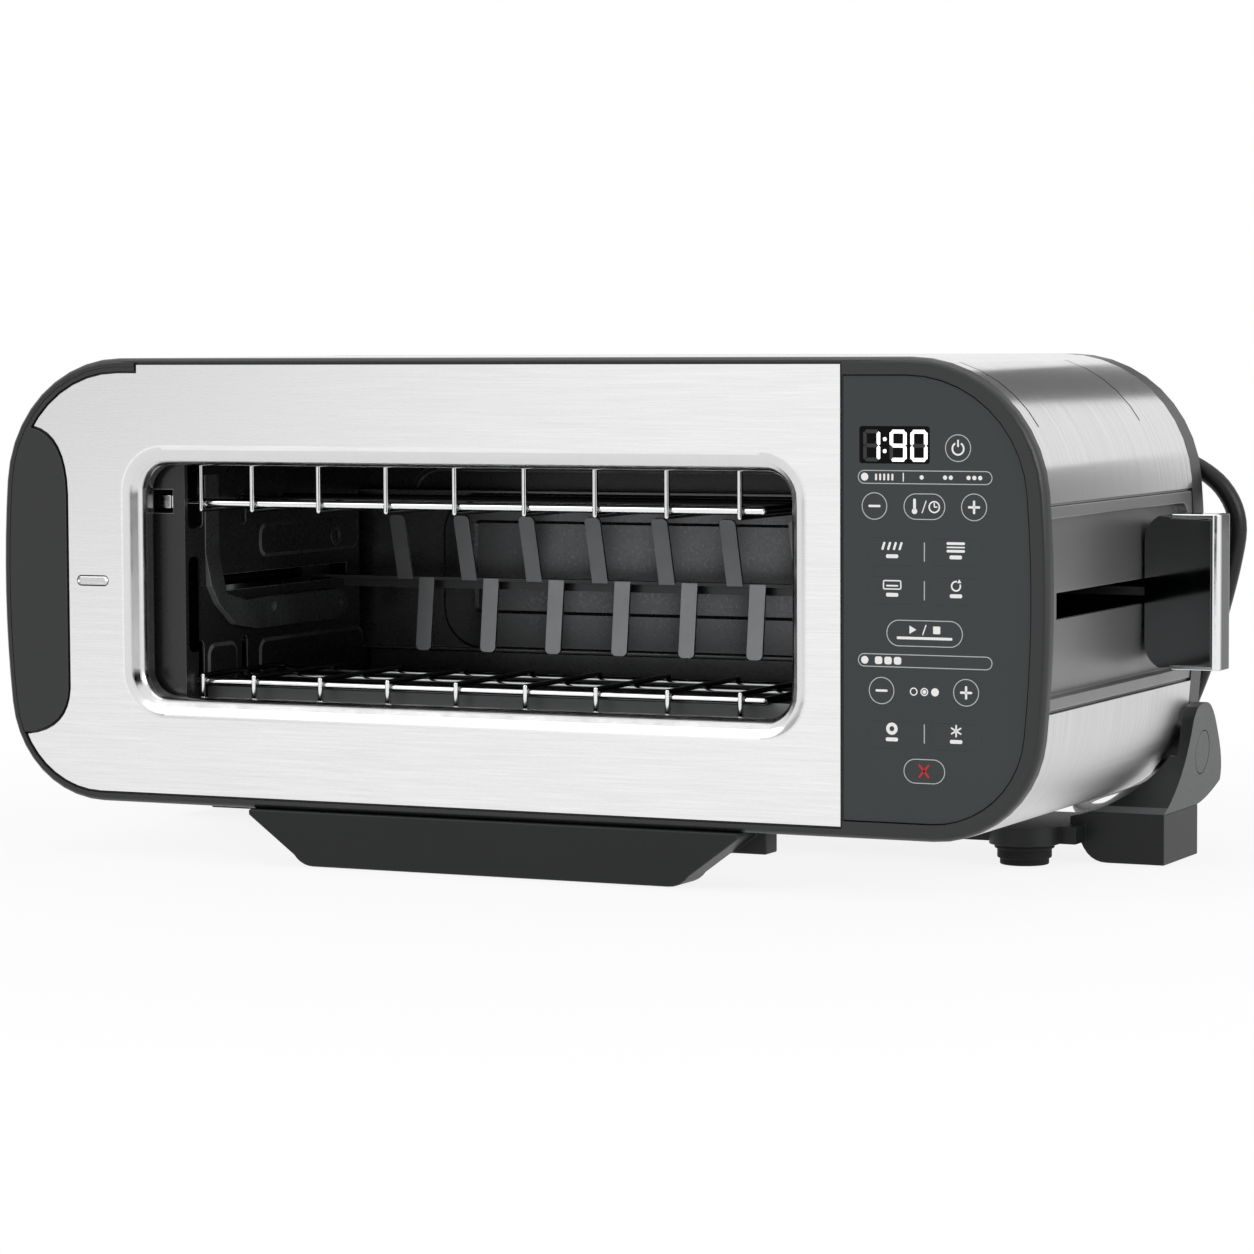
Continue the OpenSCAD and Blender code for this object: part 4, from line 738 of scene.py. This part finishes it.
# marks on the keys, each riding its key: plain pictures of the function, with a small lamp bar under some
keyMarks = {
    "power": [openRing(176.4, 154.8, 4.7, 0.6, 58, 122), bar(176.4, 156.6, 0.62, 2.5)],
    "heat_less": [bar(145.9, 135, 4.4, 0.8)],
    "heat_more": [bar(182.2, 135, 4.4, 0.8), bar(182.2, 135, 0.8, 4.6)],
    "heat_time": [bar(160.6, 135.8, 1.0, 3.8), disc(160.6, 133.4, 2.0), bar(164.1, 134.9, 0.35, 4.6, 20),
                  ring(167.8, 134.9, 4.2, 0.5), bar(167.8, 135.6, 0.45, 1.5), bar(168.3, 134.9, 1.3, 0.45)],
    "grill": [bar(149.2 + 2.1 * i, 121.4, 0.8, 2.9, 18) for i in range(4)] + [bar(152.4, 117.9, 4.5, 1.3)],
    "press": [bar(175.6, 122.6, 6.6, 0.9), bar(175.6, 121.3, 6.6, 0.5), bar(175.6, 120.0, 6.6, 0.9),
              bar(175.6, 117.9, 4.5, 1.3)],
    "bake": [outline(152.4, 108.1, 6.8, 3.3, 0.45, 0.7), bar(152.4, 107.8, 4.4, 0.55),
             bar(152.4, 104.7, 4.5, 1.3)],
    "warm": [openRing(175.7, 108.1, 3.7, 0.55, 20, 75), disc(176.9, 109.6, 1.7, 3, 115),
             bar(175.7, 104.7, 4.5, 1.3)],
    "start": [disc(159.6, 92.9, 3.3, 3, 90), bar(164.2, 92.9, 0.4, 3.8, 20), plate(168.7, 92.9, 2.6, 2.6, 0.3),
              bar(164.25, 90.0, 20.3, 0.9)],
    "shade_less": [bar(148.5, 71.7, 4.4, 0.8)],
    "shade_more": [bar(179.4, 71.9, 4.4, 0.8), bar(179.4, 71.9, 0.8, 4.6)],
    "bun": [ring(152.3, 58.7, 4.2, 1.2), bar(152.3, 55, 4.5, 1.3)],
    "frozen": [bar(175.8, 58.7, 0.55, 4.3, turn) for turn in (0, 60, 120)] + [bar(175.8, 55, 4.5, 1.3)],
    "cancel": [bar(164.05, 44.5, 0.75, 5.9, turn) for turn in (-40, 40)]}
keyOutlines = {
    "power": (176.4, 155, 9.4, 9.4), "heat_less": (145.9, 135, 9.4, 9.4),
    "heat_more": (182.2, 135, 9.4, 9.4), "heat_time": (164.2, 135, 15.2, 9.0),
    "start": (164.25, 91.65, 27.9, 9.1), "shade_less": (148.5, 71.7, 9.4, 9.4),
    "shade_more": (179.4, 71.9, 9.4, 9.4), "cancel": (164.2, 44.4, 15.2, 8.5)}
for key, shapes in keyMarks.items():
    name = camel(key)
    printInk(name + "Mark", shapes, redInk if key == "cancel" else whiteInk, "key_" + key)
    if key in keyOutlines:
        printInk(name + "Outline", [outline(*keyOutlines[key])], outlineInk, "key_" + key)

# marks on the panel itself: two mode strips, a shade scale and the dividers between keys
printInk("panelOutlines", [outline(164.3, 144.95, 49, 4.7), outline(164.35, 82.1, 49.1, 4.6)]
         + [bar(164.2, z, 0.35, 6.6) for z in (119.5, 106.3, 57.3)], outlineInk, "oven")
printInk("panelMarks", [disc(142.3, 145, 2.7), disc(142.3, 82.1, 2.7), bar(156.5, 144.95, 0.4, 3.0)]
         + [bar(146.5 + 1.5 * i, 144.95, 0.7, 2.3) for i in range(5)]
         + [disc(x, 144.95, 1.5) for x in (163.2, 171.7, 173.8, 180.2, 182.3, 184.4)]
         + [plate(147.4 + 3.5 * i, 82.1, 2.7, 2.6, 0.8) for i in range(3)]
         + [ring(160.3, 71.7, 2.8, 0.4), ring(164.2, 71.7, 2.8, 0.4)]
         + [disc(164.2, 71.7, 1.4), disc(168.1, 71.7, 2.8)], whiteInk, "oven")

# display: three seven-segment digits and a colon, lit and unlit segments apart
display = {"digits": {144.9: "bc", 154.6: "abcdfg", 162.2: "abcdef"}, "z": 155.7, "w": 6.3, "h": 10.95,
           "stroke": 1.35, "gap": 0.15}
across, up = [(display[span] - display["stroke"]) / 2 for span in "wh"]
places = {"a": (0, up), "g": (0, 0), "d": (0, -up), "b": (across, up / 2), "c": (across, -up / 2),
          "f": (-across, up / 2), "e": (-across, -up / 2)}
lit, unlit = [bar(149.7, z, 1.3, 1.3) for z in (157.9, 153.8)], []
for x, on in display["digits"].items():
    for letter, (dx, dz) in places.items():
        upright = letter in "bcef"
        length = (up if upright else 2 * across) - display["gap"]
        shape = segment(x + dx, display["z"] + dz, length, display["stroke"], upright)
        (lit if letter in on else unlit).append(shape)
printInk("displayLit", lit, litSegment, "oven")
printInk("displayUnlit", unlit, darkSegment, "oven")
print("legends printed:", len(keyMarks), "keys")

# pip pressed out of the fascia beside the grip, ringed by a thin dark plate that is painted shade for its
# groove
pip = {"x": -169.3, "z": 102.9, "w": 13.2, "h": 3.4, "rise": 0.85, "slope": 0.55, "seam": 0.35}
shadeLineWide = pip["h"] + 2 * pip["seam"]
# a dark plate a little larger than the pip: painted shade round its foot
pipSeam = plate(pip["x"], pip["z"], pip["w"] + 2 * pip["seam"], shadeLineWide, shadeLineWide * 0.49)
pipSeam.name = "pipSeam"
settle(pipSeam, cavityEnamel, "oven")
pressedPip = plate(pip["x"], pip["z"], pip["w"], pip["h"], pip["h"] * 0.49)
pressedPip.name = "pressedPip"
pressOut(pressedPip, (pip["slope"], pip["rise"]), (pip["slope"] / 2, -pip["rise"] / 2))
smooth(pressedPip, 20)
settle(pressedPip, pressedLip, "oven")


# cutters and small blocks, given by their middle and size
def block(x, y, z, w, d, h, turn=0):
    bpy.ops.object.select_all(action="DESELECT")
    bpy.ops.mesh.primitive_cube_add(size=1, location=at(x, y, z), rotation=(0, math.radians(turn), 0))
    shape = bpy.context.object
    shape.scale = (w / 1000, d / 1000, h / 1000)
    bpy.ops.object.transform_apply(location=True, rotation=True, scale=True)
    return shape


# a round bar along X, given by its middle
def roundBar(x, y, z, w, length):
    bpy.ops.object.select_all(action="DESELECT")
    bpy.ops.mesh.primitive_cylinder_add(vertices=32, radius=w / 2000, depth=length / 1000,
                                        location=at(x, y, z), rotation=(0, math.radians(90), 0))
    bpy.ops.object.transform_apply(location=True, rotation=True, scale=True)
    return bpy.context.object


def cutAway(piece, shapes):
    cutter = joined("cutter", shapes)
    applyModifier(piece, "BOOLEAN", operation="DIFFERENCE", solver="EXACT", object=cutter)
    bpy.data.objects.remove(cutter)


# lever: the inner corners of its grip and flange rounded as one
lever = {"corner": 10.0, "edge": 0.7, "spare": 0.05}
low, high = [(spot - at(0, 0, 0)) * 1000 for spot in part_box("lever_block")]
leverForm = block(*((low + high) / 2), *[span + 2 * lever["spare"] for span in high - low])
editMode(leverForm)
pick(leverForm, "EDGE", lambda e: all(v.co.x < at(low.x + 1, 0, 0).x for v in e.verts)
     and abs(e.verts[0].co.y - e.verts[1].co.y) > 0.001)
bpy.ops.mesh.bevel(offset=lever["corner"] / 1000, offset_type="OFFSET", segments=9, affect="EDGES")
objectMode()
pieces["lever_block"] = dress("lever_block", blackChrome, lever["edge"], trim=leverForm)

# left wall of the cavity: two tall openings near its front
wall = {"x": -137.0, "openings": [(20.4, 140.0, 8.4, 36.0), (20.4, 93.5, 8.4, 36.0)], "corner": 3.0}
for y, z, d, h in wall["openings"]:
    cutter = block(wall["x"] - 0.5, y, z, 8, d, h)
    roundEdges(cutter, wall["corner"], 4, 40)
    cutAway(pieces["cavity_left_wall"], [cutter])
smooth(pieces["cavity_left_wall"], 32)


# a flat shape on the left wall, facing into the cavity
def wallPlate(y, z, w, h, corner=0.0):
    return sheet((wall["x"], y, z), (0, 90, 0), (h, w), corner, 6)


# pressed panels: middle, width and height of each
panels = {"spots": [(108.2, 115.4, 79, 13.2), (109.3, 69.8, 83, 15.4), (40.5, 70.0, 22, 16.0)],
          "corner": 5.0, "slope": 1.4, "rise": 0.45}
wallPanels = joined("wallPanels", [
    pressOut(wallPlate(*spot, panels["corner"]), (panels["slope"], panels["rise"]))
    for spot in panels["spots"]])
smooth(wallPanels, 12)
# faces turned to the opening take the pale edge colour in full, slopes in part: painted highlight
markFaces(wallPanels, lambda f: 1.0 if f.normal.y < -0.1 else 0.35 if f.normal.x < 0.98 else 0.0)
settle(wallPanels, cavityEnamel, "oven")

# guide strap: a strip drawn out edge by edge, down the wall, across and back along it
guide = {"start": (33, 127, 10, 30), "thin": 0.6, "rise": 2.7, "edge": 0.8, "hole": 4.2,
         "holes": [(74.9, 89.7), (127.9, 87.8)],
         "ends": [((28.6, 100), (38, 102)), ((34, 93), (40, 96.6)), ((46, 84.5), (55.5, 93.2)),
                  ((62, 81.8), (66, 93.7)), ((126, 81.8), (126, 93.7)), ((131.5, 83.6), (131.5, 91.9)),
                  ((133.5, 86.2), (133.5, 89.3))]}
strap = wallPlate(*guide["start"])
strap.name = "guideStrap"
editMode(strap)
pick(strap, "EDGE", lambda e: all(v.co.z < at(0, 0, 113).z for v in e.verts))
for ends in guide["ends"]:
    bpy.ops.mesh.extrude_edges_move()
    points = [v for v in bmesh.from_edit_mesh(strap.data).verts if v.select]
    for point, (y, z) in zip(sorted(points, key=lambda v: v.co.y + v.co.z), ends):
        point.co = at(wall["x"], y, z)
    bmesh.update_edit_mesh(strap.data)
bpy.ops.mesh.select_all(action="SELECT")
bpy.ops.mesh.normals_make_consistent(inside=False)
pick(strap, "FACE", lambda f: f.normal.x < 0)
bpy.ops.mesh.flip_normals()
objectMode()
applyModifier(strap, "SOLIDIFY", thickness=guide["thin"] / 1000, offset=1.0)
editMode(strap)
pick(strap, "VERT", lambda v: v.co.z < at(0, 0, 110).z and v.co.x > at(wall["x"] + 0.2, 0, 0).x)
bpy.ops.transform.translate(value=((guide["rise"] - guide["thin"]) / 1000, 0, 0))
objectMode()
roundEdges(strap, guide["edge"], 3)
cutAway(strap, [roundBar(wall["x"] + 2, y, z, guide["hole"], 3.4) for y, z in guide["holes"]])
smooth(strap, 30)
# faces turned to the opening take most of the pale edge colour, the rest less: painted highlight
markFaces(strap, lambda f: 0.9 if f.normal.y < -0.3 else 0.25 if f.normal.x > 0.9 else 0.5)
settle(strap, cavityEnamel, "oven")

# boss with its hole, turned up from a disc
bossForm = {"y": 128.5, "z": 114.9, "w": 8.4, "rise": 0.8, "land": 1.8, "slope": 0.4, "deep": 0.7, "edge": 0.25}
boss = roundBar(wall["x"] + bossForm["rise"] / 2, bossForm["y"], bossForm["z"], bossForm["w"], bossForm["rise"])
boss.name = "wallBoss"
editMode(boss)
pick(boss, "FACE", lambda f: f.normal.x > 0.9)
bpy.ops.mesh.inset(thickness=bossForm["land"] / 1000, depth=0)
bpy.ops.mesh.inset(thickness=bossForm["slope"] / 1000, depth=-bossForm["deep"] / 1000)
objectMode()
roundEdges(boss, bossForm["edge"])
smooth(boss, 30)
# faces turned to the opening take more of the pale edge colour: painted highlight
markFaces(boss, lambda f: 0.7 if f.normal.y < -0.3 else 0.2)
settle(boss, cavityEnamel, "oven")

# bright latch tab that shows in the flange's hole, bent from a strip on the wall's far side
latch = {"x": -146.2, "y": 15.8, "z": 132.2, "w": 4.8, "h": 4.8, "thick": 0.8, "back": 2.0, "reach": 7.2,
         "edge": 0.25}
tab = block(latch["x"], latch["y"], latch["z"], latch["w"], latch["thick"], latch["h"])
tab.name = "latchTab"
editMode(tab)
pick(tab, "FACE", lambda f: f.normal.y > 0.9)
bpy.ops.mesh.extrude_region_move(TRANSFORM_OT_translate={"value": (0, latch["back"] / 1000, 0)})
pick(tab, "FACE", lambda f: f.normal.x > 0.9 and f.calc_center_median().y > at(0, latch["y"] + 0.6, 0).y)
bpy.ops.mesh.extrude_region_move(
    TRANSFORM_OT_translate={"value": ((latch["reach"] - latch["w"] / 2) / 1000, 0, 0)})
objectMode()
roundEdges(tab, latch["edge"], angle=30)
smooth(tab, 30)
settle(tab, pressedLip, "oven")

# pressing in the tray's sheet: a raised frame round a level field
tray = {"face": 155.0, "x": 3.0, "z": 100.2, "w": 210, "h": 62.6, "corner": 16.5, "rise": 0.9, "slope": 1.2,
        "land": 13.2, "fieldLow": 84.6, "fieldHigh": 119.3}
trayPressing = plate(tray["x"], tray["z"], tray["w"], tray["h"], tray["corner"], y=tray["face"])
trayPressing.name = "trayPressing"
pressOut(trayPressing, (tray["slope"], tray["rise"]), (tray["land"], 0), (tray["slope"], -tray["rise"]))
editMode(trayPressing)
bpy.ops.mesh.delete(type="ONLY_FACE")
for side, want in ((1, tray["fieldHigh"]), (-1, tray["fieldLow"])):
    edge = tray["h"] / 2 - 2 * tray["slope"] - tray["land"]
    reach = tray["w"] / 2 - tray["slope"] - tray["land"] * 0.6
    pick(trayPressing, "VERT", lambda v: abs(v.co.x - at(tray["x"], 0, 0).x) < reach / 1000
         and 0 < (v.co.z - at(0, 0, tray["z"]).z) * side < (edge + 1.6 * tray["slope"]) / 1000)
    bpy.ops.transform.translate(value=(0, 0, (want - tray["z"] - side * edge) / 1000))
objectMode()
smooth(trayPressing, 20)
settle(trayPressing, bluedSheet, "tray")

# strips of sheet that show past the lower rack: the tray's rail at the back and an apron ahead of the heater;
# middle, size, fold and finish of each
strips = {"trayRail": ((-13, 156.5, 64.7), (246, 2.0, 6.0), (0, 0.001, -0.003), bluedSheet),
          "heaterApron": ((-11.5, 28.6, 59.5), (250, 0.8, 7.6), (0, 0.0016, -0.006), satinSheet)}
for name, (middle, size, fold, finish) in strips.items():
    strip = block(*middle, *size)
    strip.name = name
    editMode(strip)
    pick(strip, "FACE", lambda f: f.normal.z < -0.9)
    bpy.ops.mesh.extrude_region_move(TRANSFORM_OT_translate={"value": fold})
    objectMode()
    roundEdges(strip, 0.2, angle=30)
    smooth(strip, 30)
    settle(strip, finish, "oven")
print("cavity detailed")

# screw heads get their cross slots
screwHeads = {"x": (-168.0, -18.0, 132.0), "z": (159.1, 46.9), "y": 177.8, "w": 4.6, "slot": 1.1, "deep": 1.6}
for x in screwHeads["x"]:
    for z in screwHeads["z"]:
        for turn in (20, 110):
            cutAway(pieces["cover_screws"], [
                block(x, screwHeads["y"], z, screwHeads["w"], screwHeads["deep"], screwHeads["slot"], turn)])
smooth(pieces["cover_screws"], 30)

# ribs on the cord's relief, smaller towards the cord
relief = {"x": 157.0, "y": 184.0, "z": 147.0, "pitch": 4.2, "count": 6, "w": 13.6, "taper": 0.58, "thick": 1.9,
          "edge": 0.6}
reliefRibs = joined("reliefRibs", [
    roundBar(relief["x"] + relief["pitch"] * i, relief["y"], relief["z"], relief["w"] - relief["taper"] * i,
             relief["thick"]) for i in range(relief["count"])])
roundEdges(reliefRibs, relief["edge"], 3)
smooth(reliefRibs, 30)
settle(reliefRibs, cordJacket, "oven")

# blades of the plug in bare metal
plugFace = at(-6.3, 0, 0).x
splitFinish(pieces["plug"], zincPlate, lambda f: f.center.x < plugFace)
print("small parts detailed")

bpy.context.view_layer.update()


# 1 where the camera, a mirror or a lens looks straight at it, else 0
def seenShare(tree):
    paths = addNode(tree, "LightPath").outputs
    share = paths["Is Camera Ray"]
    for other in ("Is Glossy Ray", "Is Transmission Ray"):
        share = addNode(tree, "Math", {"operation": "MAXIMUM"}, {0: share, 1: paths[other]}).outputs[0]
    return share


# stage: pale floor that fades to white, soft lamps, cards
ground = {"size": 14, "place": (0, 0, -0.0003), "colour": "#f4f4f4", "fade": (0.15, 0.6), "nearLevel": 0.86}
bpy.ops.object.select_all(action="DESELECT")
bpy.ops.mesh.primitive_plane_add(size=ground["size"], location=ground["place"])
floor = bpy.context.object
floor.name = "floor"
paper, paperTree, paperShader = startFinish("paperFloor", {
    "Base Color": linear(ground["colour"]), "Roughness": 0.9})
spot = addNode(paperTree, "TexCoord").outputs["Object"]
away = addNode(paperTree, "VectorMath", {"operation": "LENGTH"}, {0: spot}).outputs["Value"]
fade = addNode(paperTree, "MapRange", {"interpolation_type": "SMOOTHSTEP"}, {
    0: away, 1: ground["fade"][0], 2: ground["fade"][1], 3: ground["nearLevel"], 4: 1.0}).outputs[0]
share = addNode(paperTree, "Math", {"operation": "MULTIPLY"}, {0: seenShare(paperTree), 1: fade}).outputs[0]
glow = addNode(paperTree, "Emission", inputs={"Color": (1, 1, 1, 1), "Strength": 1.0}).outputs[0]
both = addNode(paperTree, "MixShader", inputs={0: share, 1: paperShader.outputs[0], 2: glow}).outputs[0]
paperTree.links.new(both, [n for n in paperTree.nodes if n.type == "OUTPUT_MATERIAL"][0].inputs["Surface"])
floor.data.materials.append(paper)

world = bpy.data.worlds.new("studio")
bpy.context.scene.world = world
world.use_nodes = True
worldTree = world.node_tree
worldTree.nodes.clear()
softLight = 0.42  # how bright the surroundings are for matt surfaces
level = addNode(worldTree, "MapRange", inputs={
    0: seenShare(worldTree), 1: 0.0, 2: 1.0, 3: softLight, 4: 1.0}).outputs[0]
sky = addNode(worldTree, "Background", inputs={"Color": (1, 1, 1, 1), "Strength": level}).outputs[0]
addNode(worldTree, "OutputWorld", inputs={"Surface": sky})

# lamps: place, width in metres and power, all aimed at the body
lamps = {"keyLamp": ((-900, -1300, 1300), 1.3, 10.0), "fillLamp": ((1500, -250, 750), 1.0, 8.5),
         "topLamp": ((0, 300, 1700), 1.5, 6.0)}
for name, (place, size, power) in lamps.items():
    bpy.ops.object.light_add(type="AREA", location=at(*place))
    lamp = bpy.context.object
    lamp.name = name
    lamp.data.shape = "DISK"
    lamp.data.size = size
    lamp.data.energy = power
    lamp.rotation_euler = (at(0, 90, 80) - lamp.location).to_track_quat("-Z", "Y").to_euler()

# studio cards that only polished metal sees: place, width and height, and how bright each is
cards = {
    "wrapFlag": ((14, 2000, 1110), (560, 900), 0.17),
    "horizonCard": ((1275, 1500, 210), (1250, 300), 0.3),
    "leftCard": ((-2700, -2500, 600), (2400, 1800), 0.54),
    "rightFlag": ((1370, -1500, 400), (1780, 1100), 0.0)}
for name, (place, size, brightness) in cards.items():
    bpy.ops.mesh.primitive_plane_add(size=1, location=at(*place), rotation=(math.radians(90), 0, 0))
    card = bpy.context.object
    card.name = name
    card.scale = (size[0] / 1000, size[1] / 1000, 1)
    cardPaper, cardTree, cardShader = startFinish(name + "Paper", {
        "Base Color": linear("#000000"), "Roughness": 1.0, "Specular IOR Level": 0.0,
        "Emission Color": (1, 1, 1, 1), "Emission Strength": brightness})
    card.data.materials.append(cardPaper)
    card.visible_camera = False
    card.visible_diffuse = False
    card.visible_shadow = False
    card.visible_transmission = False
print("stage set")
